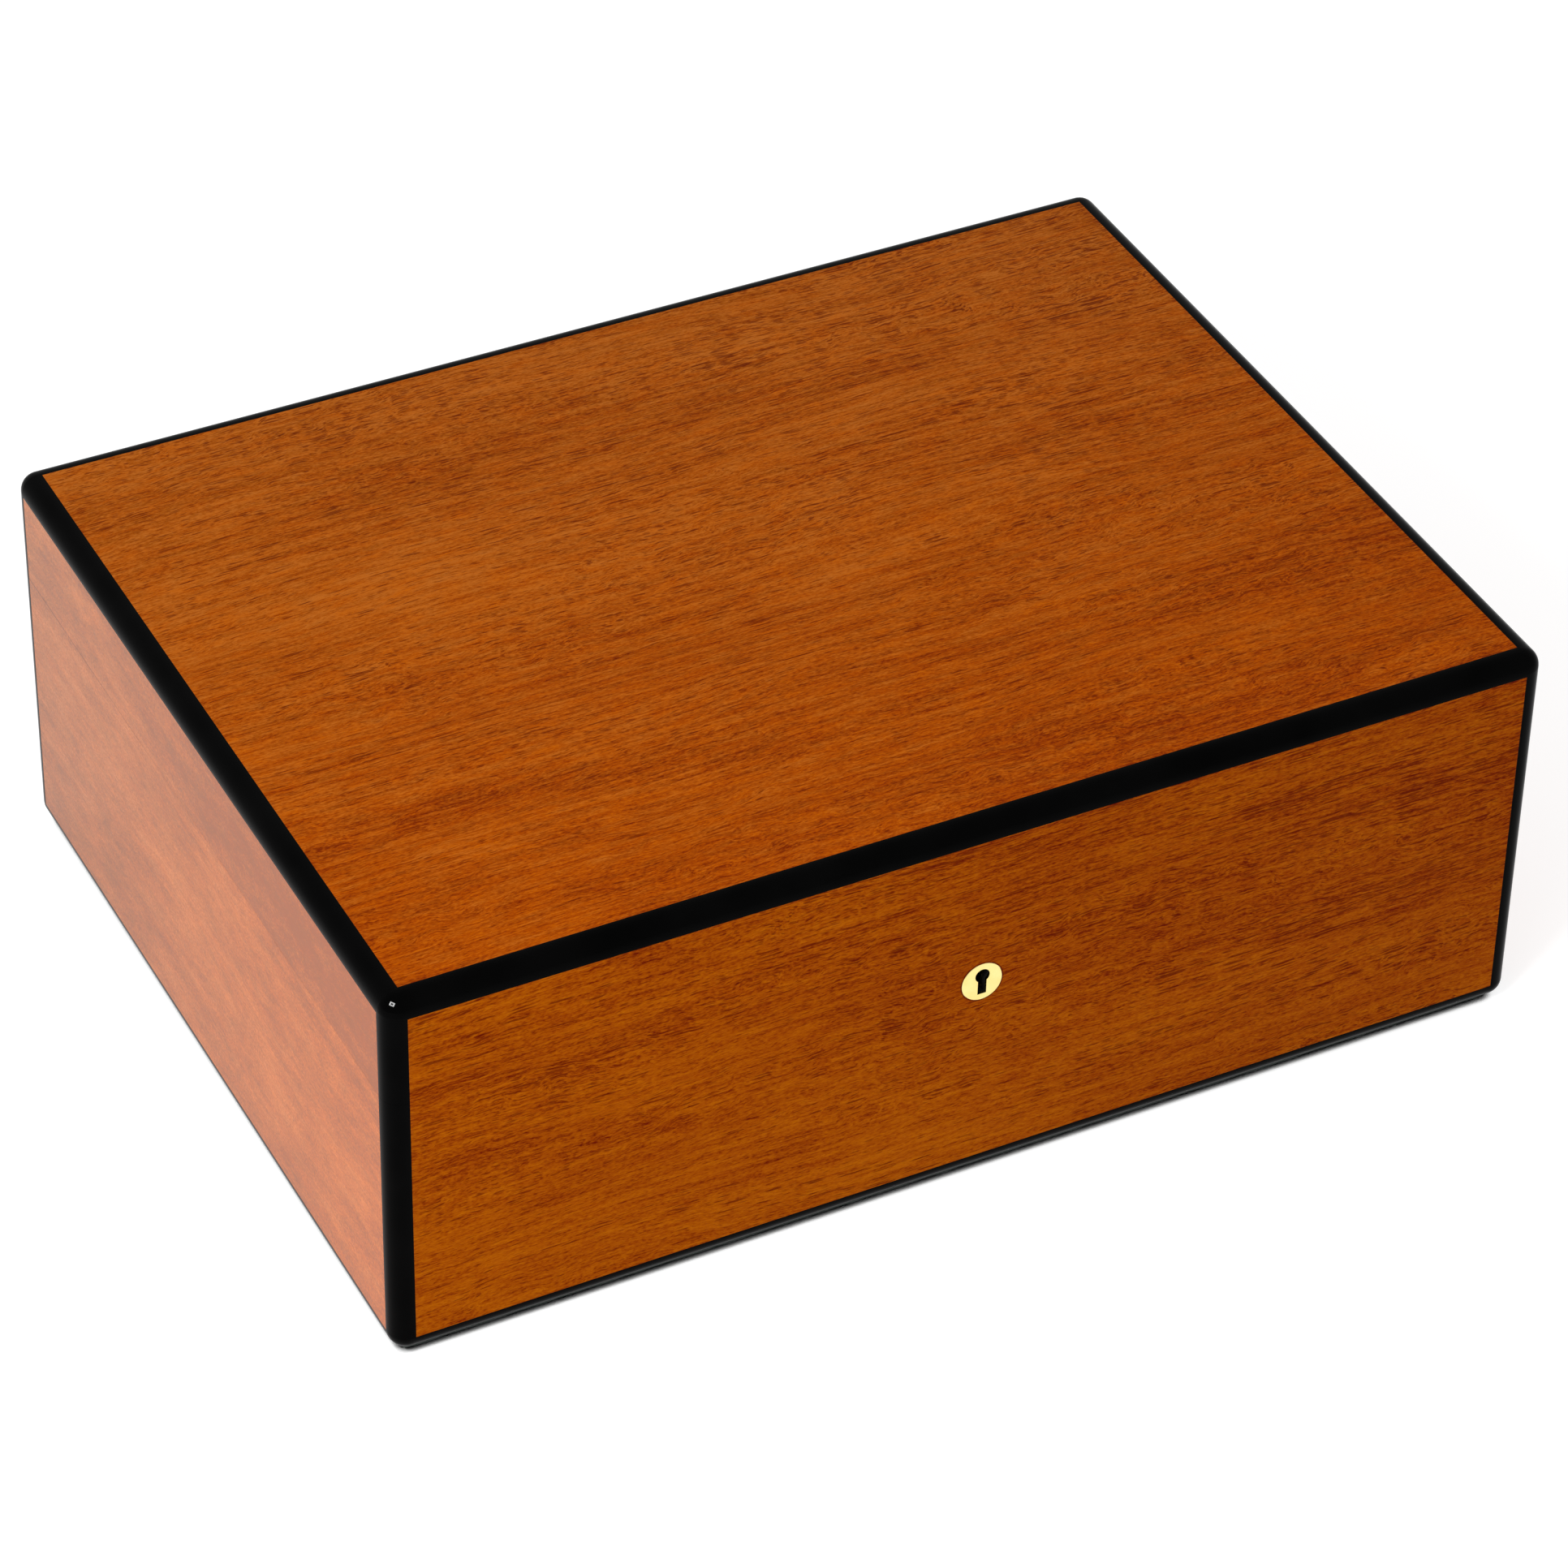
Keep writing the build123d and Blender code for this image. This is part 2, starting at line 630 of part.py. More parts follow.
def link_plate():
    """The lid's plate, with two links that hang into the lock."""
    plate = lock_plate(Z_LID)
    for place in LINK_PLACES:
        x = (place - LINK_THICKNESS / 2, place + LINK_THICKNESS / 2)
        tab = block(x, (LOCK_Y - LINK_WIDTH / 2, LOCK_Y + LINK_WIDTH / 2), (Z_LID - LINK_DROP, Z_LID))
        window = block(
            x,
            (LOCK_Y - LINK_WINDOW_WIDTH / 2, LOCK_Y + LINK_WINDOW_WIDTH / 2),
            (Z_WINDOW_LOW, Z_FINGER + BOLT_FINGER + BOLT_CLEARANCE),
        )
        plate = plate + (tab - window)
    return plate


def face_plate():
    plate = lock_plate(Z_CASE_TOP)
    half_x = LINK_THICKNESS / 2 + LINK_SLOT_CLEARANCE
    half_y = LINK_WIDTH / 2 + LINK_SLOT_CLEARANCE
    for place in LINK_PLACES:
        plate = plate - block(
            (place - half_x, place + half_x), (LOCK_Y - half_y, LOCK_Y + half_y), (Z_CASE_TOP, Z_RIM)
        )
    return plate


def escutcheon():
    face = -DEPTH / 2 - ESCUTCHEON_PROUD
    disc = Cylinder(ESCUTCHEON_RADIUS, VENEER + ESCUTCHEON_PROUD)
    disc = Pos(0, face + (VENEER + ESCUTCHEON_PROUD) / 2, Z_ESCUTCHEON) * Rot(90, 0, 0) * disc
    rim = disc.edges().group_by(Axis.Y)[0]
    return chamfer(rim, ESCUTCHEON_BEVEL) - keyhole((face, -DEPTH / 2 + VENEER))


def make_lock():
    parts["lock_case"] = lock_case()
    parts["lock_bolt"] = lock_bolt()
    parts["lock_face_plate"] = face_plate()
    parts["lock_link_plate"] = link_plate()
    parts["escutcheon"] = escutcheon()
    half = LOCK_WIDTH / 2 + LOCK_FIT
    pocket_y = (LOCK_Y - LOCK_THICKNESS / 2 - LOCK_FIT, LOCK_Y + LOCK_THICKNESS / 2 + LOCK_FIT)
    pocket = block((-half, half), pocket_y, (Z_CASE_TOP - LOCK_HEIGHT - LOCK_FIT, Z_RIM))
    through = keyhole((-DEPTH / 2 + VENEER, pocket_y[0]))
    wall = parts["base_front_wall"] - pocket - lock_plate(Z_CASE_TOP) - through
    parts["base_front_wall"] = wall
    parts["lid_front_wall"] = parts["lid_front_wall"] - lock_plate(Z_LID)
    seat = Cylinder(ESCUTCHEON_RADIUS + SCREW_CLEARANCE, 2 * WALL)
    hole = Pos(0, -DEPTH / 2, Z_ESCUTCHEON) * Rot(90, 0, 0) * seat
    parts["base_front_veneer"] = parts["base_front_veneer"] - hole


# Humidifier and hygrometer, both fixed under the lid

Z_HUMIDIFIER_TOP = Z_CEILING - STRIP
Z_HUMIDIFIER = Z_HUMIDIFIER_TOP - HUMIDIFIER_DEPTH


def slot_places(reach, pitch):
    """Evenly spaced places about the middle that stay within a reach."""
    count = int(reach // pitch)
    return [index * pitch for index in range(-count, count + 1)]


def humidifier_grille():
    """The cover that faces down into the box, with two rows of slots."""
    outline = RectangleRounded(HUMIDIFIER_LENGTH, HUMIDIFIER_WIDTH, HUMIDIFIER_RADIUS)
    cover = extrude(outline, amount=GRILLE)
    cover = chamfer(cover.edges().group_by(Axis.Z)[0], GRILLE_BEVEL)
    slot = Rectangle(GRILLE_SLOT_WIDTH, GRILLE_SLOT_LENGTH)
    columns = slot_places(HUMIDIFIER_LENGTH / 2 - GRILLE_END_MARGIN, GRILLE_SLOT_PITCH)
    rows = (-GRILLE_ROW_PITCH / 2, GRILLE_ROW_PITCH / 2)
    cutters = Sketch() + [Pos(x, y) * slot for x in columns for y in rows]
    return cover - extrude(cutters, amount=GRILLE)


def make_humidifier():
    spot = Pos(HUMIDIFIER_X, 0, Z_HUMIDIFIER)
    height = HUMIDIFIER_DEPTH - GRILLE
    inner_length = HUMIDIFIER_LENGTH - 2 * HUMIDIFIER_WALL
    inner_width = HUMIDIFIER_WIDTH - 2 * HUMIDIFIER_WALL
    inner_radius = HUMIDIFIER_RADIUS - HUMIDIFIER_WALL
    outline = RectangleRounded(HUMIDIFIER_LENGTH, HUMIDIFIER_WIDTH, HUMIDIFIER_RADIUS)
    hollow = RectangleRounded(inner_length, inner_width, inner_radius)
    shell = extrude(outline, amount=height) - extrude(hollow, amount=height - HUMIDIFIER_WALL)
    foam_height = height - HUMIDIFIER_WALL - HUMIDIFIER_FOAM_GAP
    foam = extrude(offset(hollow, -HUMIDIFIER_FOAM_GAP), amount=foam_height)
    parts["humidifier_case"] = spot * Pos(0, 0, GRILLE) * shell
    parts["humidifier_foam"] = spot * Pos(0, 0, GRILLE) * foam
    parts["humidifier_grille"] = spot * humidifier_grille()
    parts["humidifier_strip"] = block(
        (HUMIDIFIER_X - STRIP_LENGTH / 2, HUMIDIFIER_X + STRIP_LENGTH / 2),
        (-STRIP_WIDTH / 2, STRIP_WIDTH / 2),
        (Z_HUMIDIFIER_TOP, Z_CEILING),
    )


# Levels inside the hygrometer, measured down from the ceiling
H_BEZEL = -HYGROMETER_DEPTH
H_GLASS = H_BEZEL + BEZEL_LIP_THICKNESS
H_GLASS_TOP = H_GLASS + GLASS
H_DIAL = H_GLASS_TOP + DIAL_BEHIND_GLASS
H_DIAL_TOP = H_DIAL + DIAL
H_BACK = -HYGROMETER_BACK
HYGROMETER_INNER = HYGROMETER_RADIUS - HYGROMETER_WALL


def hygrometer_case():
    """A turned brass cup with a flanged bezel, whose lip holds the glass."""
    flange = HYGROMETER_RADIUS + BEZEL_FLANGE
    outline = [
        (0, 0),
        (HYGROMETER_RADIUS, 0),
        (HYGROMETER_RADIUS, H_BEZEL + BEZEL),
        (flange, H_BEZEL + BEZEL),
        (HYGROMETER_RADIUS, H_BEZEL),
        (HYGROMETER_INNER - BEZEL_LIP, H_BEZEL),
        (HYGROMETER_INNER - BEZEL_LIP, H_GLASS),
        (HYGROMETER_INNER, H_GLASS),
        (HYGROMETER_INNER, H_BACK),
        (0, H_BACK),
    ]
    return revolve(Plane.XZ * Polygon(*outline, align=None), Axis.Z)


def hygrometer_needle():
    """A tapered pointer with a tail, a hub, and an arbor through the dial."""
    high = H_DIAL - NEEDLE_ABOVE_DIAL
    outline = [
        (-NEEDLE_WIDTH / 2, NEEDLE_TAIL),
        (-NEEDLE_TIP_WIDTH / 2, -NEEDLE_REACH),
        (NEEDLE_TIP_WIDTH / 2, -NEEDLE_REACH),
        (NEEDLE_WIDTH / 2, NEEDLE_TAIL),
    ]
    pointer = plan_prism(outline, (high - NEEDLE, high))
    hub = Pos(0, 0, high - NEEDLE) * Cylinder(
        NEEDLE_HUB_RADIUS, 2 * NEEDLE, align=(Align.CENTER, Align.CENTER, Align.MIN)
    )
    arbor_length = NEEDLE_ABOVE_DIAL + DIAL + ARBOR_DEPTH
    arbor = Pos(0, 0, high) * Cylinder(
        ARBOR_RADIUS, arbor_length, align=(Align.CENTER, Align.CENTER, Align.MIN)
    )
    return Rot(0, 0, NEEDLE_REST_ANGLE) * (pointer + hub + arbor)


def disc(radius, low, high):
    return Pos(0, 0, (low + high) / 2) * Cylinder(radius, high - low)


def make_hygrometer():
    spot = Pos(HYGROMETER_X, 0, Z_CEILING)
    seat = HYGROMETER_INNER - SEAT_FIT
    arbor_hole = ARBOR_RADIUS + ARBOR_FIT
    shaft = disc(arbor_hole, H_DIAL, H_DIAL_TOP + ARBOR_DEPTH + ARBOR_FIT)
    parts["hygrometer_case"] = spot * hygrometer_case()
    parts["hygrometer_glass"] = spot * disc(seat, H_GLASS, H_GLASS_TOP)
    parts["hygrometer_dial"] = spot * (disc(seat, H_DIAL, H_DIAL_TOP) - shaft)
    parts["hygrometer_movement"] = spot * (disc(MOVEMENT_RADIUS, H_DIAL_TOP, H_BACK) - shaft)
    parts["hygrometer_needle"] = spot * hygrometer_needle()


make_carcass()
make_lining()
make_tray()
make_hinges()
make_lock()
make_screws()
make_humidifier()
make_hygrometer()

os.makedirs("parts", exist_ok=True)
for name, shape in parts.items():
    export_step(shape, f"parts/{name}.step")
print(len(parts), "parts")
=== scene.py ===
"""The looks of a desktop humidor: finishes, felt, foam, slotted screws, dial print, light and camera.

Metres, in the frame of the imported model: +Z up, the front with the keyhole faces -Y, and the origin
is the centre of the felt underside. The pieces keep their places; most of them only get a finish here.
"""
import math
import random

import bmesh
import bpy
from mathutils import Euler, Matrix, Vector

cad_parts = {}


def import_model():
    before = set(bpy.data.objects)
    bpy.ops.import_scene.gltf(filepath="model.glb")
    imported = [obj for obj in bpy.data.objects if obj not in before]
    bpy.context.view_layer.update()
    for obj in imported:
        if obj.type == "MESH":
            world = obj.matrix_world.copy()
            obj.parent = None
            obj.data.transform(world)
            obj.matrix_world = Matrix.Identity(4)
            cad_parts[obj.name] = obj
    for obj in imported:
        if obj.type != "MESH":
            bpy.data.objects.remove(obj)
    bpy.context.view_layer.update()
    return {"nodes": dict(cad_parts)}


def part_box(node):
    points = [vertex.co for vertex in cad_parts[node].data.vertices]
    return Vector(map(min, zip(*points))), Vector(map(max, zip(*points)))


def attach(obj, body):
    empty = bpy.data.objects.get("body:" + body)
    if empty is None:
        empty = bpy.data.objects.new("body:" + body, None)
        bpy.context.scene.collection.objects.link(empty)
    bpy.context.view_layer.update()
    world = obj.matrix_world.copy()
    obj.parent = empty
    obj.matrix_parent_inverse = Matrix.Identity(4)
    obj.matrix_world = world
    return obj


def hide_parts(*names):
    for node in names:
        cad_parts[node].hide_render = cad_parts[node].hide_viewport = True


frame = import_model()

MM = 0.001

# Camera, fitted to the corners of the three panels in the photograph
CAMERA_PLACE = (-0.6055, -1.1737, 1.0862)
CAMERA_TURN_DEGREES = (51.706, -1.038, -26.715)
CAMERA_LENS_MM = 137.62
SENSOR_MM = 36.0


def srgb(red, green, blue):
    """A colour read from 0 to 255 on a screen, as the linear colour that shaders take."""
    levels = (red / 255, green / 255, blue / 255)
    linear = [c / 12.92 if c <= 0.04045 else ((c + 0.055) / 1.055) ** 2.4 for c in levels]
    return (*linear, 1.0)


# Node helpers


def add(tree, kind, inputs=None, **settings):
    """A shader node. An input's value is a number, a colour or another node's output."""
    made = tree.nodes.new(kind)
    for name, value in settings.items():
        setattr(made, name, value)
    for name, value in (inputs or {}).items():
        if isinstance(value, bpy.types.NodeSocket):
            tree.links.new(value, made.inputs[name])
        else:
            made.inputs[name].default_value = value
    return made


def compute(tree, operation, first, second=0.5, clamp=False):
    inputs = {0: first, 1: second}
    return add(tree, "ShaderNodeMath", inputs, operation=operation, use_clamp=clamp).outputs[0]


def mean(tree, first, second, share):
    """The mean of two values, of which the first has this share."""
    parts = compute(tree, "MULTIPLY", first, share), compute(tree, "MULTIPLY", second, 1 - share)
    return compute(tree, "ADD", *parts)


def blend_colours(tree, factor, first, second):
    inputs = {"Factor": factor, 6: first, 7: second}
    return add(tree, "ShaderNodeMix", inputs, data_type="RGBA").outputs[2]


def ramp(tree, factor, stops):
    """A colour or grey level for each value of the factor."""
    made = add(tree, "ShaderNodeValToRGB", {"Fac": factor})
    elements = made.color_ramp.elements
    while len(elements) < len(stops):
        elements.new(0.5)
    for element, (place, colour) in zip(elements, stops):
        element.position = place
        element.color = colour if isinstance(colour, tuple) else (colour, colour, colour, 1.0)
    return made.outputs["Color"]


def between(tree, factor, low, high):
    """From one level or colour to another over the middle of a noise's range."""
    return ramp(tree, factor, ((0.3, low), (0.7, high)))


def within(tree, distance, reach, fade):
    """1 where the distance is well under the reach, fading to 0 at the reach."""
    return compute(tree, "MULTIPLY", compute(tree, "SUBTRACT", reach, distance), 1 / fade, clamp=True)


def place_mm(tree):
    """Object coordinates in millimetres."""
    place = add(tree, "ShaderNodeTexCoord").outputs["Object"]
    return add(tree, "ShaderNodeVectorMath", {0: place, "Scale": 1 / MM}, operation="SCALE").outputs[0]


def cells(tree, size_mm, offset=(0.0, 0.0, 0.0), place=None):
    """Coordinates counted in cells of this size along each axis."""
    inputs = {
        "Vector": place or place_mm(tree),
        "Scale": tuple(1 / size for size in size_mm),
        "Location": offset,
    }
    return add(tree, "ShaderNodeMapping", inputs).outputs[0]


def noise(tree, vector, detail=2.0, roughness=0.5, distortion=0.0):
    inputs = {
        "Vector": vector,
        "Scale": 1.0,
        "Detail": detail,
        "Roughness": roughness,
        "Distortion": distortion,
    }
    return add(tree, "ShaderNodeTexNoise", inputs).outputs["Fac"]


def spots(tree, vector):
    """Round cells: the distance from the nearest cell's middle, and a random colour for each cell."""
    return add(tree, "ShaderNodeTexVoronoi", {"Vector": vector, "Scale": 1.0}).outputs


def split(tree, vector):
    """The X, Y and Z of a vector or a colour."""
    return add(tree, "ShaderNodeSeparateXYZ", {0: vector}).outputs


def even_noise(tree, size_mm, detail=2.0, roughness=0.5, distortion=0.0):
    """Noise of the same size in every direction."""
    return noise(tree, cells(tree, (size_mm, size_mm, size_mm)), detail, roughness, distortion)


def start_material(name):
    material = bpy.data.materials.new(name)
    material.use_nodes = True
    material.node_tree.nodes.clear()
    return material, material.node_tree


def end_material(tree, inputs):
    """The surface shader and the output."""
    shader = add(tree, "ShaderNodeBsdfPrincipled", inputs)
    add(tree, "ShaderNodeOutputMaterial", {"Surface": shader.outputs[0]})


def bump(tree, height, distance_mm):
    inputs = {"Height": height, "Distance": distance_mm * MM, "Strength": 1.0}
    return add(tree, "ShaderNodeBump", inputs).outputs[0]


def end_lacquered(tree, colour, roughness, coat_ior, ripple_mm, relief_mm):
    """Ends a material that lies under clear, gently rippled lacquer."""
    end_material(tree, {
        "Base Color": colour,
        "Roughness": roughness,
        "Specular IOR Level": 0.0,
        "Coat Weight": 1.0,
        "Coat Roughness": 0.05,
        "Coat IOR": coat_ior,
        "Coat Normal": bump(tree, even_noise(tree, ripple_mm, 1.0), relief_mm),
    })


# Wood: every length is in millimetres, and the grain runs along one axis

# How the grain wanders. Each wave has a length, a width, a shift of its noise and a reach.
# The short waves only show in patches, where the figure is curly, and are weak elsewhere.
LONG_WAVE = (130.0, 44.0, 41.0, 14.0)
SHORT_WAVES = ((13.0, 8.0, 43.0, 5.0), (5.0, 4.0, 47.0, 1.0))
CURLY_PATCH = (120.0, 34.0, 53.0)
CURLY_LEVELS = ((0.46, 0.12), (0.62, 1.0))

# Patches of another hue, and the step in shift from one layer of the grain to the next
HUE_PATCH = (9.0, 2.5, 61.0)
GRAIN_SHIFT = 3.0
GRAIN_ROUGHNESS = 0.6

# Pores: the patches where they crowd and their shift from the pores' own, then, as shares of a cell,
# the least size of a pore and how softly it ends
CROWD_PATCH = (80.0, 14.0)
CROWD_SHIFT = 6.0
LEAST_PORE = 0.4
PORE_FADE = 0.2


def grain_cells(tree, along, length, across, shift, place=None):
    """Cells that are long along the grain and narrow across it, shifted so that layers differ."""
    size = [across, across, across]
    size["XYZ".index(along)] = length
    return cells(tree, size, (shift, shift * 1.7, shift * 2.3), place)


def centred(tree, value, weight):
    """A noise made to swing about zero by the weight."""
    return compute(tree, "MULTIPLY", compute(tree, "SUBTRACT", value, 0.5), weight)


def wandering_place(tree, along):
    """Millimetres, pushed to and fro across the grain, so that its lines wander."""
    start = pushed = place_mm(tree)
    patch = noise(tree, grain_cells(tree, along, *CURLY_PATCH, start), 1.0)
    curly = ramp(tree, patch, CURLY_LEVELS)
    for wave in (LONG_WAVE, *SHORT_WAVES):
        *cell, reach = wave
        push = centred(tree, noise(tree, grain_cells(tree, along, *cell, start), 1.0), reach)
        if wave in SHORT_WAVES:
            push = compute(tree, "MULTIPLY", push, curly)
        axes = {axis: push for axis in "XYZ" if axis != along}
        step = add(tree, "ShaderNodeCombineXYZ", axes).outputs[0]
        pushed = add(tree, "ShaderNodeVectorMath", {0: pushed, 1: step}, operation="ADD").outputs[0]
    return pushed


def drifting(tree, drift, clamp=False):
    """A value that changes steadily over the sheet, by a slope per millimetre from a starting value."""
    slope, start = drift
    steady = add(
        tree, "ShaderNodeVectorMath", {0: place_mm(tree), 1: slope}, operation="DOT_PRODUCT"
    ).outputs["Value"]
    return compute(tree, "ADD", steady, start, clamp)


def pore_cover(tree, along, place, pores, slope):
    """How much of each point is an open pore: spindles along the grain, in crowds here and there."""
    length, across, crowding, shift = pores
    spindle = spots(tree, grain_cells(tree, along, length, across, shift, place))
    size = compute(tree, "ADD", split(tree, spindle["Color"])["X"], LEAST_PORE)
    patches = grain_cells(tree, along, *CROWD_PATCH, shift + CROWD_SHIFT, place)
    crowd = compute(tree, "ADD", noise(tree, patches, 4.0, 0.65), drifting(tree, (slope, crowding)))
    return within(tree, spindle["Distance"], compute(tree, "MULTIPLY", crowd, size), PORE_FADE)


def veneer(name, along, looks):
    """Mahogany veneer under clear lacquer: layers of wandering grain, and dark pores in crowds."""
    material, tree = start_material(name)
    place = wandering_place(tree, along)
    # Painted light: the tone drifts steadily across the sheet, following or countering the lamps'
    # falloff
    tone = drifting(tree, looks["tone"])
    for layer, (length, across, detail, weight) in enumerate(looks["grain"]):
        streaks = grain_cells(tree, along, length, across, GRAIN_SHIFT * layer, place)
        lean = centred(tree, noise(tree, streaks, detail, GRAIN_ROUGHNESS), weight)
        tone = compute(tree, "ADD", tone, lean)
    spread = looks["spread"]
    orange, tan = (
        ramp(tree, tone, ((0.5 - spread, dark), (0.5, middle), (0.5 + spread, light)))
        for dark, middle, light in (looks["orange"], looks["tan"])
    )
    patches = noise(tree, grain_cells(tree, along, *HUE_PATCH, place))
    lean = centred(tree, patches, looks["hue_spread"])
    hue = compute(tree, "ADD", lean, drifting(tree, looks["hue"]), clamp=True)
    wood = blend_colours(tree, hue, orange, tan)

    for *pores, strength in looks["pores"]:
        cover = pore_cover(tree, along, place, pores, looks["crowd"])
        wood = blend_colours(tree, compute(tree, "MULTIPLY", cover, strength), wood, looks["pore"])
    # Painted shade lines along the seam and round the inlay, in the pores' colour
    if "seam" in looks:
        wood = blend_colours(tree, seam_cover(tree, looks["seam"]), wood, looks["pore"])
    if "inlay" in looks:
        wood = blend_colours(tree, inlay_cover(tree, looks["inlay"]), wood, looks["pore"])
    end_lacquered(tree, wood, 0.5, looks["coat_ior"], ripple_mm=4.0, relief_mm=0.02)
    return material


# Painted shade lines: the seam between lid and base and the line round an inlay, in millimetres, and the
# line's strength
SEAM_LEVEL = 87.825
SEAM_EDGE = 0.3
SEAM_FADE = 0.2
INLAY_LINE = 0.5
INLAY_FADE = 0.25
INLAY_SHADE = 0.7


def off_plane(tree, axis, level):
    """The distance from a plane across an axis, in millimetres."""
    value = split(tree, place_mm(tree))[axis]
    return compute(tree, "ABSOLUTE", compute(tree, "SUBTRACT", value, level))


def seam_cover(tree, drift):
    """Painted shade: a fine dark line where lid and base meet, stronger towards one end."""
    near = within(tree, off_plane(tree, "Z", SEAM_LEVEL), SEAM_EDGE, SEAM_FADE)
    return compute(tree, "MULTIPLY", near, drifting(tree, drift, clamp=True))


def inlay_cover(tree, inlay):
    """Painted shade: a fine dark line in the veneer round an inlaid disc, given by its centre and
    radius.
    """
    centre, radius = inlay
    off = add(
        tree, "ShaderNodeVectorMath", {0: place_mm(tree), 1: centre}, operation="DISTANCE"
    ).outputs["Value"]
    return compute(tree, "MINIMUM", within(tree, off, radius + INLAY_LINE, INLAY_FADE), INLAY_SHADE)


# Layers of bare wood, each with a length, a width and a shift: growth bands, streaks and open pores
BANDS = (180.0, 9.0, 0.0)
STREAKS = (30.0, 1.4, 3.0)
DASHES = (6.0, 0.4, 5.0)
BANDS_SHARE = 0.6


def plain_wood(name, along, colours, roughness, shade_keyhole=False):
    """Bare planed wood with growth lines and open pores. For the front wall it is painted black round
    the keyhole: painted shade in the keyhole's passage.
    """
    material, tree = start_material(name)
    dark, middle, light = colours
    bands = noise(tree, grain_cells(tree, along, *BANDS), 3.0, 0.55, 0.5)
    streaks = noise(tree, grain_cells(tree, along, *STREAKS), 4.0, 0.6)
    dashes = noise(tree, grain_cells(tree, along, *DASHES))
    tone = mean(tree, bands, streaks, BANDS_SHARE)
    wood = ramp(tree, tone, ((0.32, dark), (0.5, middle), (0.68, light)))
    pores = ramp(tree, dashes, ((0.6, 0.0), (0.75, 0.7)))
    colour = blend_colours(tree, pores, wood, dark)
    if shade_keyhole:
        colour = blend_colours(tree, near_keyhole(tree), colour, KEYHOLE_SHADE)
    end_material(tree, {
        "Base Color": colour,
        "Roughness": ramp(tree, streaks, ((0.3, roughness - 0.08), (0.7, roughness + 0.08))),
        "Specular IOR Level": 0.3,
        "Normal": bump(tree, compute(tree, "SUBTRACT", streaks, pores), 0.05),
    })
    return material


# The keyhole, and the lock behind it, in millimetres
KEYHOLE = (0.0, -122.25, 68.3)
KEYHOLE_REACH = 6.0
KEYHOLE_FADE = 1.0
LOCK_INSIDE = 2.1
LOCK_FADE = 0.01
# Painted shade: the near-black colour put in the keyhole's passage and on the lock case's inner faces
KEYHOLE_SHADE = srgb(6, 5, 4)


def near_keyhole(tree):
    """1 within a few millimetres of the line through the keyhole, and 0 further off."""
    across, above = off_plane(tree, "X", KEYHOLE[0]), off_plane(tree, "Z", KEYHOLE[2])
    return within(tree, compute(tree, "MAXIMUM", across, above), KEYHOLE_REACH, KEYHOLE_FADE)


def inside_lock(tree):
    """1 on the inner faces of the lock's case, and 0 on its outside."""
    return within(tree, off_plane(tree, "Y", KEYHOLE[1]), LOCK_INSIDE, LOCK_FADE)


def black_lacquer():
    material, tree = start_material("black_lacquer")
    colour = between(tree, even_noise(tree, 18.0), srgb(0, 0, 0), srgb(3, 3, 3))
    end_lacquered(tree, colour, 0.4, 1.08, ripple_mm=5.0, relief_mm=0.01)
    return material


def brass(name, roughness, shade_inside=False):
    """Polished brass with faint wiping marks. For the lock's case, its inner faces are painted dull
    black: painted shade behind the keyhole.
    """
    material, tree = start_material(name)
    wiped = noise(tree, cells(tree, (3.0, 0.15, 0.15)))
    colour = between(tree, even_noise(tree, 6.0, 3.0), srgb(240, 214, 126), srgb(250, 232, 156))
    metallic = 1.0
    if shade_inside:
        inside = inside_lock(tree)
        colour = blend_colours(tree, inside, colour, KEYHOLE_SHADE)
        metallic = compute(tree, "SUBTRACT", 1.0, inside)
    end_material(tree, {
        "Base Color": colour,
        "Metallic": metallic,
        "Roughness": between(tree, wiped, roughness - 0.04, roughness + 0.06),
        "Normal": bump(tree, wiped, 0.004),
    })
    return material


def steel():
    material, tree = start_material("steel")
    brushed = noise(tree, cells(tree, (14.0, 0.12, 0.12)), 3.0, 0.6)
    end_material(tree, {
        "Base Color": between(tree, brushed, srgb(176, 178, 180), srgb(204, 205, 206)),
        "Metallic": 1.0,
        "Roughness": between(tree, brushed, 0.3, 0.42),
        "Normal": bump(tree, brushed, 0.01),
    })
    return material


def black_plastic():
    material, tree = start_material("black_plastic")
    grain = even_noise(tree, 0.35)
    end_material(tree, {
        "Base Color": between(tree, grain, srgb(24, 24, 25), srgb(34, 34, 35)),
        "Roughness": between(tree, grain, 0.42, 0.56),
        "Normal": bump(tree, grain, 0.03),
    })
    return material


def felt():
    material, tree = start_material("felt")
    fibres = even_noise(tree, 0.3, 4.0, 0.75, 1.0)
    shade = mean(tree, fibres, even_noise(tree, 9.0), 0.7)
    end_material(tree, {
        "Base Color": between(tree, shade, srgb(12, 24, 18), srgb(34, 56, 44)),
        "Roughness": 0.95,
        "Specular IOR Level": 0.1,
        "Sheen Weight": 0.4,
        "Sheen Roughness": 0.6,
        "Normal": bump(tree, fibres, 0.2),
    })
    return material


def foam():
    material, tree = start_material("foam")
    bubbles = spots(tree, cells(tree, (1.1, 1.1, 1.1)))["Distance"]
    end_material(tree, {
        "Base Color": ramp(tree, bubbles, ((0.1, srgb(24, 66, 46)), (0.5, srgb(62, 122, 90)))),
        "Roughness": 0.9,
        "Specular IOR Level": 0.2,
        "Normal": bump(tree, bubbles, 0.35),
    })
    return material


def dial_paint():
    material, tree = start_material("dial_paint")
    speckle = even_noise(tree, 0.6)
    end_material(tree, {
        "Base Color": between(tree, speckle, srgb(236, 233, 220), srgb(244, 242, 232)),
        "Roughness": between(tree, speckle, 0.55, 0.65),
    })
    return material


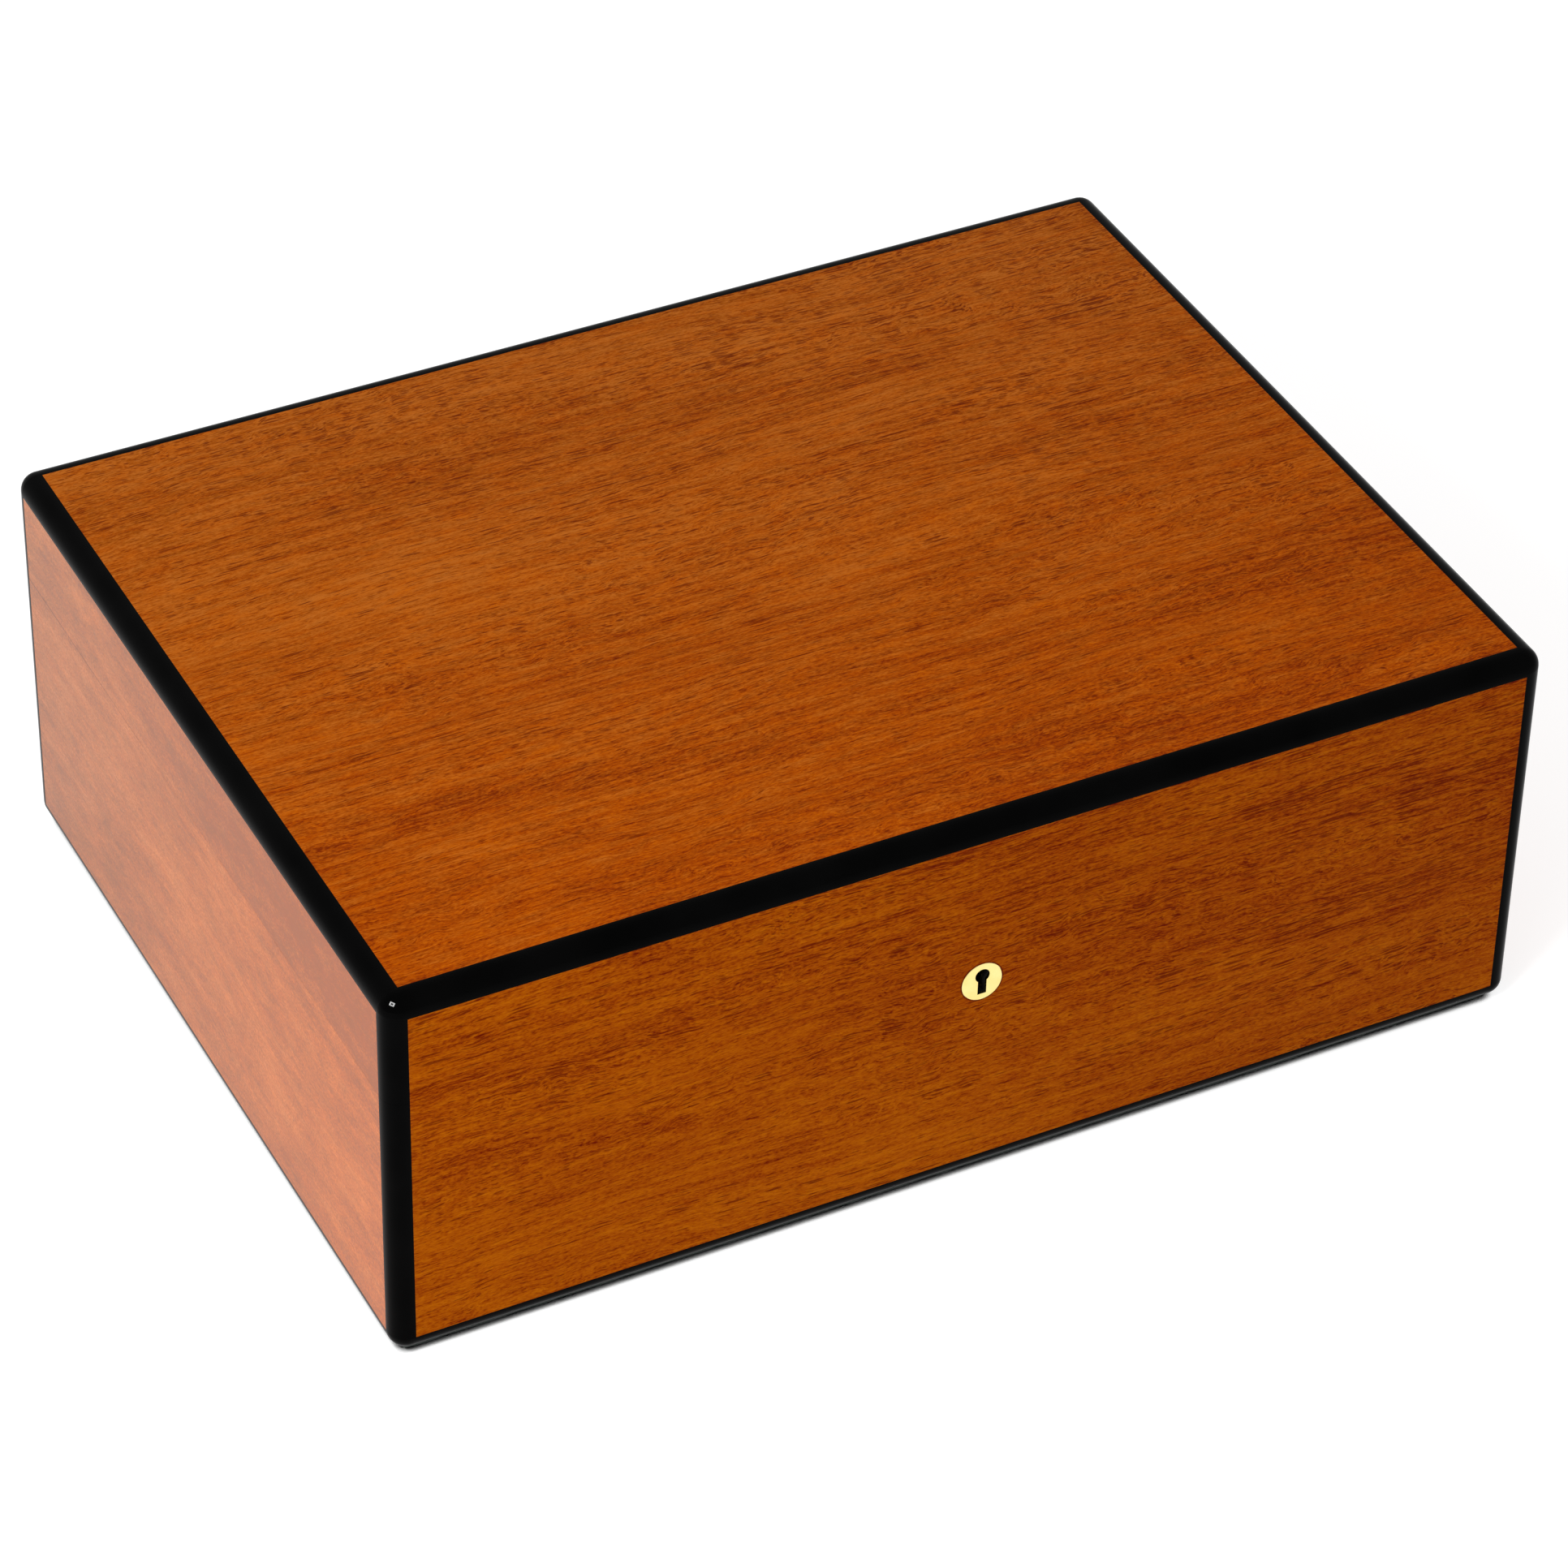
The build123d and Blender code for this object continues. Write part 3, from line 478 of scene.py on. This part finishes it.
def ink():
    material, tree = start_material("ink")
    end_material(tree, {
        "Base Color": between(tree, even_noise(tree, 0.4), srgb(22, 22, 24), srgb(36, 36, 38)),
        "Roughness": 0.6,
    })
    return material


def enamel():
    material, tree = start_material("black_enamel")
    flow = even_noise(tree, 2.0, 1.0)
    end_material(tree, {
        "Base Color": between(tree, flow, srgb(14, 14, 15), srgb(24, 24, 25)),
        "Roughness": between(tree, flow, 0.22, 0.3),
        "Normal": bump(tree, flow, 0.005),
    })
    return material


def glass():
    """Flat glass with a faint film of dust."""
    material, tree = start_material("glass")
    end_material(tree, {
        "Base Color": srgb(250, 252, 252),
        "Transmission Weight": 1.0,
        "IOR": 1.45,
        "Roughness": ramp(tree, even_noise(tree, 5.0, 3.0), ((0.3, 0.0), (0.8, 0.03))),
    })
    return material


def paint_nodes(material, names):
    for name in names:
        for slot in frame["nodes"][name].material_slots:
            slot.link = "OBJECT"
            slot.material = material


# Browns of the cedar lining and the core boards, from dark to light
CEDAR_COLOURS = (srgb(150, 98, 66), srgb(190, 138, 100), srgb(212, 166, 128))
CORE_COLOURS = (srgb(140, 108, 78), srgb(178, 144, 108), srgb(200, 168, 130))

# Looks of the veneers. Each colour runs from dark to light, and orange changes to tan in patches.
# "spread" is how far the tone runs to each end of its colours, "hue_spread" how sharply the hue changes.
# "tone", "hue" and "seam" drift: each has a slope per millimetre along X, Y and Z, and a starting value.
# The tone drift is painted light: the top and front run lighter to the left, where the key lamp is
# nearer, and the sides run lighter towards the back, against the lamps' falloff. The front also runs
# lighter towards the bottom, and the top lighter towards the back.
# Each layer of "grain" has a length, a width, a detail and a weight. Each kind of "pores" has a length,
# a width, a crowding, a shift and a strength, and "crowd" is the slope of the crowding.
# "inlay" is the centre and the radius of a disc that is let in.
TOP_VENEER = {
    "orange": (srgb(120, 36, 0), srgb(167, 71, 0), srgb(192, 95, 5)),
    "tan": (srgb(118, 43, 1), srgb(161, 79, 8), srgb(186, 102, 32)),
    "pore": srgb(94, 20, 0),
    "tone": ((-0.0001, 0.0006, 0.0), 0.542),
    "hue": ((0.0, 0.003, 0.0), 0.48),
    "hue_spread": 1.8,
    "spread": 0.3,
    "grain": (
        (300.0, 34.0, 2.0, 0.34), (70.0, 14.0, 2.0, 0.28), (70.0, 1.5, 3.0, 0.7),
        (14.0, 0.6, 3.0, 0.75), (1.4, 0.35, 2.0, 1.0),
    ),
    "pores": ((12.0, 0.7, -0.22, 31.0, 0.72), (4.0, 0.5, -0.18, 71.0, 0.6)),
    "crowd": (0.0002, 0.0005, 0.0),
    "coat_ior": 1.058,
}
FRONT_VENEER = {
    "orange": (srgb(108, 24, 0), srgb(159, 73, 0), srgb(183, 98, 4)),
    "tan": (srgb(102, 16, 0), srgb(150, 61, 0), srgb(174, 87, 4)),
    "pore": srgb(88, 4, 0),
    "tone": ((-0.00013, 0.0, -0.0004), 0.55),
    "hue": ((0.0015, 0.0, 0.0), 0.45),
    "hue_spread": 1.6,
    "spread": 0.3,
    "grain": (
        (260.0, 34.0, 2.0, 0.4), (60.0, 16.0, 2.0, 0.32), (50.0, 1.5, 3.0, 0.65),
        (12.0, 0.6, 3.0, 0.7), (1.4, 0.35, 2.0, 0.95),
    ),
    "pores": ((12.0, 0.7, -0.24, 31.0, 0.68), (4.0, 0.5, -0.24, 71.0, 0.55)),
    "crowd": (0.0003, 0.0, 0.001),
    "coat_ior": 1.06,
    "inlay": ((0.0, -127.5, 68.3), 6.0),
}
# Painted light: the side sheets are a lit copy of the veneer, coloured lighter than the top and front
# and given a coat that reflects more, as the light falls brighter on the sides
LIT_SIDE_VENEER = {
    "orange": (srgb(160, 74, 1), srgb(195, 95, 2), srgb(222, 118, 24)),
    "tan": (srgb(146, 74, 4), srgb(180, 96, 18), srgb(208, 120, 54)),
    "pore": srgb(110, 50, 6),
    "tone": ((0.0, 0.0001, 0.0), 0.44),
    "hue": ((0.0, 0.003, 0.0), 0.5),
    "hue_spread": 1.4,
    "spread": 0.26,
    "grain": (
        (150.0, 30.0, 2.0, 0.5), (40.0, 14.0, 2.0, 0.45), (24.0, 4.0, 3.0, 0.45),
        (5.0, 1.2, 3.0, 0.4), (0.8, 0.5, 2.0, 0.8),
    ),
    "pores": ((4.0, 0.9, -0.3, 31.0, 0.2),),
    "crowd": (0.0, 0.0, 0.0),
    "coat_ior": 1.19,
    "seam": ((0.0, 0.007, 0.0), 0.0),
}
# The lid's sides start darker than the base's and run lighter towards the back, a painted light drift
LIT_LID_SIDE_VENEER = {**LIT_SIDE_VENEER, "tone": ((0.0, 0.0011, 0.0), 0.36)}

SIDES_ALONG = {"X": ("front", "back"), "Y": ("left", "right")}
EDGING_NODES = ("base_corner_edging", "base_bottom_edging", "lid_corner_edging", "lid_top_edging")


def finish_nodes():
    """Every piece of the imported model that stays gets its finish."""
    paint_nodes(veneer("veneer_top", "X", TOP_VENEER), ["lid_top_veneer"])
    paint_nodes(veneer("veneer_front", "X", FRONT_VENEER), [
        "base_front_veneer", "base_back_veneer", "lid_front_veneer", "lid_back_veneer",
    ])
    for half, looks in (("base", LIT_SIDE_VENEER), ("lid", LIT_LID_SIDE_VENEER)):
        sheets = [f"{half}_left_veneer", f"{half}_right_veneer"]
        paint_nodes(veneer(f"veneer_{half}_sides", "Y", looks), sheets)
    for along, sides in SIDES_ALONG.items():
        board = plain_wood(f"core_{along.lower()}", along, CORE_COLOURS, 0.75)
        paint_nodes(board, [f"{half}_{side}_wall" for half in ("base", "lid") for side in sides])
        lining = plain_wood(f"cedar_{along.lower()}", along, CEDAR_COLOURS, 0.7)
        paint_nodes(lining, [f"base_{side}_lining" for side in sides])
        if along == "X":
            paint_nodes(board, ["base_floor_panel", "lid_top_panel"])
            paint_nodes(lining, [
                "lid_front_lining", "lid_back_lining", "lid_ceiling_lining", "base_floor_lining",
                "tray_long_walls",
            ])
        else:
            paint_nodes(lining, [
                "lid_side_linings", "tray_cleats", "tray_end_walls", "tray_slats", "tray_divider",
                "base_divider",
            ])
    paint_nodes(black_lacquer(), EDGING_NODES)
    paint_nodes(brass("brass_polished", 0.14), [
        "escutcheon", "hygrometer_case", "lock_face_plate", "lock_link_plate", "hinge_pins",
        "left_hinge_base_leaf", "right_hinge_base_leaf", "left_hinge_lid_leaf", "right_hinge_lid_leaf",
    ])
    paint_nodes(brass("brass_satin", 0.3), ["lock_bolt", "hygrometer_movement"])
    # The lock case's inside and the front wall round the keyhole are painted black: painted shade in the
    # keyhole
    paint_nodes(brass("brass_shade_inside", 0.3, shade_inside=True), ["lock_case"])
    paint_nodes(plain_wood("core_keyhole", "X", CORE_COLOURS, 0.75, shade_keyhole=True), ["base_front_wall"])
    paint_nodes(steel(), ["humidifier_strip"])
    paint_nodes(black_plastic(), ["humidifier_case", "humidifier_grille"])
    paint_nodes(dial_paint(), ["hygrometer_dial"])
    paint_nodes(glass(), ["hygrometer_glass"])
    paint_nodes(enamel(), ["hygrometer_needle"])


# Pieces made here

SQUARE = ((-1, -1), (1, -1), (1, 1), (-1, 1))
SORT_WAY = Vector((1.0, 0.37, 0.11))


def mesh_of(name, shape):
    """A mesh made from a bmesh, which is freed."""
    mesh = bpy.data.meshes.new(name)
    shape.to_mesh(mesh)
    shape.free()
    return mesh


def take_in(shape, mesh):
    """Moves a mesh's faces into a bmesh."""
    shape.from_mesh(mesh)
    bpy.data.meshes.remove(mesh)


def settle_order(shape):
    """Puts corners and faces in a fixed order, because a bevel makes them in any."""
    shape.verts.sort(key=lambda vert: vert.co.dot(SORT_WAY))
    shape.faces.sort(key=lambda face: face.calc_center_median().dot(SORT_WAY))


def linked(made):
    """The object, once it is in the scene."""
    bpy.context.scene.collection.objects.link(made)
    return made


def new_piece(name, shape, material, body):
    mesh = mesh_of(name, shape)
    mesh.materials.append(material)
    piece = linked(bpy.data.objects.new(name, mesh))
    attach(piece, body)
    return piece


FELT_CORNER = 1.5 * MM
FELT_CELL = 4.0 * MM
FELT_NAP = 0.12 * MM


def felt_pad():
    """The felt under the base: a thin sheet whose underside and edges are a little uneven."""
    low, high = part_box("base_felt")
    half_x, half_y = (high.x - low.x) / 2, (high.y - low.y) / 2
    rng = random.Random(4)
    shape = bmesh.new()
    columns = round(2 * half_x / FELT_CELL)
    rows = round(2 * half_y / FELT_CELL)

    def placed(column, row):
        x = -half_x + 2 * half_x * column / columns
        y = -half_y + 2 * half_y * row / rows
        over_x = abs(x) - (half_x - FELT_CORNER)
        over_y = abs(y) - (half_y - FELT_CORNER)
        if over_x > 0 and over_y > 0:
            reach = max(over_x, over_y) / math.hypot(over_x, over_y)
            x = math.copysign(half_x - FELT_CORNER + over_x * reach, x)
            y = math.copysign(half_y - FELT_CORNER + over_y * reach, y)
        return x, y

    layers = []
    for top in (False, True):
        grid = []
        for row in range(rows + 1):
            line = []
            for column in range(columns + 1):
                x, y = placed(column, row)
                edge = column in (0, columns) or row in (0, rows)
                nap = rng.uniform(0, FELT_NAP)
                z = high.z if top else low.z + (2 * nap if edge else nap)
                pull = 1 - (rng.uniform(0, FELT_NAP) / half_y if edge else 0)
                line.append(shape.verts.new((x * pull, y * pull, z)))
            grid.append(line)
        layers.append(grid)
    bottom, above = layers
    for row in range(rows):
        for column in range(columns):
            for grid, order in ((above, 1), (bottom, -1)):
                corners = [
                    grid[row][column], grid[row][column + 1],
                    grid[row + 1][column + 1], grid[row + 1][column],
                ]
                shape.faces.new(corners[::order])
    rim = [(0, column) for column in range(columns)]
    rim += [(row, columns) for row in range(rows)]
    rim += [(rows, column) for column in range(columns, 0, -1)]
    rim += [(row, 0) for row in range(rows, 0, -1)]
    for (row, column), (next_row, next_column) in zip(rim, rim[1:] + rim[:1]):
        shape.faces.new((
            bottom[row][column], bottom[next_row][next_column],
            above[next_row][next_column], above[row][column],
        ))
    pad = new_piece("felt_pad", shape, felt(), "base")
    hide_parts("base_felt")


FOAM_CORNER = 3.0 * MM
FOAM_EDGE = 0.5 * MM


def foam_block():
    """The humidifier's foam, with rounded edges and a pitted skin that shows through the grille."""
    low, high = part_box("humidifier_foam")
    shape = bmesh.new()
    bmesh.ops.create_cube(shape, size=1.0)
    size, centre = high - low, (high + low) / 2
    bmesh.ops.scale(shape, vec=size, verts=shape.verts)
    upright = [e for e in shape.edges if abs(e.verts[0].co.z - e.verts[1].co.z) > size.z / 2]
    bmesh.ops.bevel(shape, geom=upright, offset=FOAM_CORNER, segments=4, affect="EDGES")
    bmesh.ops.translate(shape, vec=centre, verts=shape.verts)
    cut = [e for f in shape.faces if f.normal.z < -0.5 for e in f.edges]
    bmesh.ops.bevel(shape, geom=cut, offset=FOAM_EDGE, segments=2, affect="EDGES")
    settle_order(shape)
    block = new_piece("foam_block", shape, foam(), "lid")
    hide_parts("humidifier_foam")


# Screws, in millimetres: places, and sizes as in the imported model
HINGE_SCREWS = [(side * 105.0 + step, 122.625) for side in (-1, 1) for step in (-12.0, 12.0)]
LOCK_SCREWS = [(-24.0, -122.25), (24.0, -122.25)]
SCREW_HEAD_RADIUS = 1.9
SCREW_RADIUS = 1.0
SCREW_HEAD = 1.1
SCREW_LENGTH = 9.0
SCREW_POINT = 2.5
SCREW_TIP_RADIUS = 0.15
SLOT_LENGTH = 3.3
SLOT_WIDTH = 0.5
SLOT_DEPTH = 0.5
SCREW_SIDES = 32


def screw_shape(shape):
    """A countersunk screw, point down, with a slot sunk in its head at the level of zero."""
    outline = (
        (SCREW_HEAD_RADIUS, 0.0), (SCREW_RADIUS, -SCREW_HEAD),
        (SCREW_RADIUS, SCREW_POINT - SCREW_LENGTH), (SCREW_TIP_RADIUS, -SCREW_LENGTH),
    )
    angles = [2 * math.pi * index / SCREW_SIDES for index in range(SCREW_SIDES)]
    rings = [
        [shape.verts.new((radius * math.cos(angle), radius * math.sin(angle), z)) for angle in angles]
        for radius, z in outline
    ]
    for upper, lower in zip(rings, rings[1:]):
        for index in range(SCREW_SIDES):
            after = (index + 1) % SCREW_SIDES
            shape.faces.new((upper[index], lower[index], lower[after], upper[after]))
    shape.faces.new(rings[-1][::-1])
    mouth, bed = (
        [shape.verts.new((x * SLOT_LENGTH / 2, y * SLOT_WIDTH / 2, z)) for x, y in SQUARE]
        for z in (0.0, -SLOT_DEPTH)
    )
    half = SCREW_SIDES // 2
    rim = rings[0]
    ends = [shape.verts.new((side * SLOT_LENGTH / 2, 0.0, 0.0)) for side in (1, -1)]
    shape.faces.new(rim[:half + 1] + [ends[1], mouth[3], mouth[2], ends[0]])
    shape.faces.new(rim[half:] + [rim[0], ends[0], mouth[1], mouth[0], ends[1]])
    shape.faces.new([mouth[1], ends[0], mouth[2], bed[2], bed[1]])
    shape.faces.new([mouth[3], ends[1], mouth[0], bed[0], bed[3]])
    shape.faces.new([mouth[0], mouth[1], bed[1], bed[0]])
    shape.faces.new([mouth[2], mouth[3], bed[3], bed[2]])
    shape.faces.new(bed)


def slotted_screws(name, node, body, material, flipped):
    """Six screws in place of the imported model's plain ones, each slot left at its own angle."""
    low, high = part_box(node)
    level = low.z if flipped else high.z
    rng = random.Random(7 if flipped else 5)
    shape = bmesh.new()
    for x, y in HINGE_SCREWS + LOCK_SCREWS:
        one = bmesh.new()
        screw_shape(one)
        turn = Matrix.Rotation(rng.uniform(0, math.pi), 4, "Z")
        flip = Matrix.Rotation(math.pi if flipped else 0.0, 4, "X")
        one.transform(Matrix.Translation((x * MM, y * MM, level)) @ flip @ turn @ Matrix.Scale(MM, 4))
        take_in(shape, mesh_of("one_screw", one))
    bmesh.ops.recalc_face_normals(shape, faces=shape.faces)
    screws = new_piece(name, shape, material, body)
    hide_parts(node)


# The hygrometer's dial, in millimetres and degrees: its centre, how far the print lies off its face,
# the angles of the scale, and the sizes and places of the print
DIAL_CENTRE = (82.0, 0.0)
DIAL_LIFT = 0.03
SCALE_ZERO = -135.0
SCALE_STEP = 2.7
TICK_OUTER = 19.8
TICK_LONG = (2.6, 0.4)
TICK_SHORT = (1.4, 0.2)
TEXT_SIZE = 3.6
NUMBER_RADIUS = 14.4
PERCENT_PLACE = (0.0, -9.0)
RING_SIDES = 96
RING_WIDTH = 0.25


def letters_mesh(text, size):
    """A flat mesh of a short text, centred on the origin."""
    curve = bpy.data.curves.new("letters", "FONT")
    curve.body = text
    curve.size = size
    curve.align_x = "CENTER"
    curve.align_y = "CENTER"
    holder = bpy.data.objects.new("letters", curve)
    mesh = bpy.data.meshes.new_from_object(holder)
    bpy.data.objects.remove(holder)
    bpy.data.curves.remove(curve)
    return mesh


def scale_point(value, radius, aside=0.0):
    """A place on the scale, with X to the right and Y up as the dial is read."""
    angle = math.radians(SCALE_ZERO + SCALE_STEP * value)
    return Vector((
        radius * math.sin(angle) + aside * math.cos(angle),
        radius * math.cos(angle) - aside * math.sin(angle),
        0.0,
    ))


def dial_print():
    """A humidity scale from 0 to 100: a thin ring, ticks, and a number at every twenty."""
    shape = bmesh.new()

    def face(*corners):
        shape.faces.new([shape.verts.new(corner) for corner in corners])

    for value in range(0, 101, 2):
        length, width = TICK_SHORT if value % 10 else TICK_LONG
        inner, side = TICK_OUTER - length, width / 2
        face(
            scale_point(value, TICK_OUTER, -side), scale_point(value, inner, -side),
            scale_point(value, inner, side), scale_point(value, TICK_OUTER, side),
        )
    outer = TICK_OUTER + RING_WIDTH
    for index in range(RING_SIDES):
        start, end = 100.0 * index / RING_SIDES, 100.0 * (index + 1) / RING_SIDES
        face(
            scale_point(start, TICK_OUTER), scale_point(end, TICK_OUTER),
            scale_point(end, outer), scale_point(start, outer),
        )
    labels = [(str(value), scale_point(value, NUMBER_RADIUS)) for value in range(0, 101, 20)]
    for text, middle in [*labels, ("%", Vector((*PERCENT_PLACE, 0.0)))]:
        part = letters_mesh(text, TEXT_SIZE)
        part.transform(Matrix.Translation(middle))
        take_in(shape, part)
    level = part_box("hygrometer_dial")[0].z - DIAL_LIFT * MM
    place = Matrix.Translation((DIAL_CENTRE[0] * MM, DIAL_CENTRE[1] * MM, level))
    shape.transform(place @ Matrix.Rotation(math.pi, 4, "X") @ Matrix.Scale(MM, 4))
    new_piece("dial_print", shape, ink(), "lid")


# Floor, light and camera

# The floor's half width in metres, its grey under the lamps, and the glow that brings it to white
FLOOR_HALF = 6.0
FLOOR_ALBEDO = 0.6
FLOOR_GLOW = 0.66
# Painted contact shade: how near the object the floor's colour and glow are darkened, and how open the
# floor is where it is painted black and where clear
CONTACT_REACH = 3 * MM
CONTACT_SAMPLES = 8
CONTACT_DARK = 0.42
CONTACT_CLEAR = 0.6
# The room's brightness as a light, where the background itself is 1
ROOM_LIGHT = 0.6


def seen_directly(tree):
    """1 for the rays that show the background itself: from the camera, off gloss or through glass."""
    rays = add(tree, "ShaderNodeLightPath").outputs
    return compute(
        tree, "MAXIMUM", rays["Is Camera Ray"],
        compute(tree, "MAXIMUM", rays["Is Glossy Ray"], rays["Is Transmission Ray"]),
    )


def floor():
    """A pale floor that reads white and keeps the object's shadow; near the object its colour and glow
    are darkened by ambient occlusion, a painted contact shade, darkest where they nearly touch.
    """
    material, tree = start_material("floor")
    shelter = add(
        tree, "ShaderNodeAmbientOcclusion", {"Distance": CONTACT_REACH}, samples=CONTACT_SAMPLES
    )
    grey, clear = (
        ramp(tree, shelter.outputs["AO"], ((CONTACT_DARK, 0.0), (CONTACT_CLEAR, level)))
        for level in (FLOOR_ALBEDO, FLOOR_GLOW)
    )
    glow = compute(tree, "MULTIPLY", seen_directly(tree), clear)
    paint = add(tree, "ShaderNodeBsdfDiffuse", {"Color": grey})
    light = add(tree, "ShaderNodeEmission", {"Strength": glow})
    both = add(tree, "ShaderNodeAddShader", {0: paint.outputs[0], 1: light.outputs[0]})
    add(tree, "ShaderNodeOutputMaterial", {"Surface": both.outputs[0]})
    mesh = bpy.data.meshes.new("floor")
    corners = [(x * FLOOR_HALF, y * FLOOR_HALF, 0.0) for x, y in SQUARE]
    mesh.from_pydata(corners, [], [(0, 1, 2, 3)])
    mesh.materials.append(material)
    linked(bpy.data.objects.new("floor", mesh))


def world():
    """An even pale room that shows as white, also in gloss and through glass."""
    scene_world = bpy.data.worlds.new("studio")
    bpy.context.scene.world = scene_world
    scene_world.use_nodes = True
    tree = scene_world.node_tree
    tree.nodes.clear()
    extra = compute(tree, "MULTIPLY", seen_directly(tree), 1.0 - ROOM_LIGHT)
    strength = compute(tree, "ADD", extra, ROOM_LIGHT)
    backdrop = add(tree, "ShaderNodeBackground", {"Color": (1.0, 1.0, 1.0, 1.0), "Strength": strength})
    add(tree, "ShaderNodeOutputWorld", {"Surface": backdrop.outputs[0]})


def camera():
    data = bpy.data.cameras.new("camera")
    data.sensor_width = SENSOR_MM
    data.lens = CAMERA_LENS_MM
    eye = linked(bpy.data.objects.new("camera", data))
    eye.location = CAMERA_PLACE
    eye.rotation_euler = Euler([math.radians(angle) for angle in CAMERA_TURN_DEGREES])
    bpy.context.scene.camera = eye


# Each lamp has a direction, a distance, a width and height, and a brightness. All shine at one place.
KEY = (Vector((-0.585, -0.378, 0.717)), 1.2, (0.3, 0.225), 37.5)
FILL = (Vector((-0.8, -0.55, 0.22)), 1.3, (0.83, 0.53), 4.5)
GLINT_SIZE = (0.62, 0.42)
GLINT_BRIGHTNESS = 420.0
LAMP_AIM = Vector((-0.16, -0.12, 0.11))


def hang(name, towards, distance, size, brightness):
    """A rectangular lamp given by its brightness, so that its size only changes how soft it is."""
    data = bpy.data.lights.new(name, "AREA")
    data.shape = "RECTANGLE"
    data.size, data.size_y = size
    data.energy = brightness * size[0] * size[1] * math.pi
    lamp = linked(bpy.data.objects.new(name, data))
    lamp.location = place = LAMP_AIM + towards.normalized() * distance
    lamp.rotation_euler = (LAMP_AIM - place).to_track_quat("-Z", "Y").to_euler()
    lamp.visible_camera = False
    return lamp


def glint():
    """The key lamp's spark on the polished edging, brighter than the soft light on the rest."""
    lamp = hang("glint", *KEY[:2], GLINT_SIZE, GLINT_BRIGHTNESS)
    lamp.visible_diffuse = False
    lit = bpy.data.collections.new("lit_by_glint")
    for name in EDGING_NODES:
        lit.objects.link(frame["nodes"][name])
    lamp.light_linking.receiver_collection = lit


finish_nodes()
felt_pad()
foam_block()
screw_brass = brass("brass_screws", 0.22)
slotted_screws("base_slotted_screws", "base_screws", "base", screw_brass, flipped=False)
slotted_screws("lid_slotted_screws", "lid_screws", "lid", screw_brass, flipped=True)
dial_print()

floor()
world()
hang("key", *KEY)
hang("fill", *FILL).visible_glossy = False
glint()
camera()

bpy.context.scene.view_settings.view_transform = "Standard"
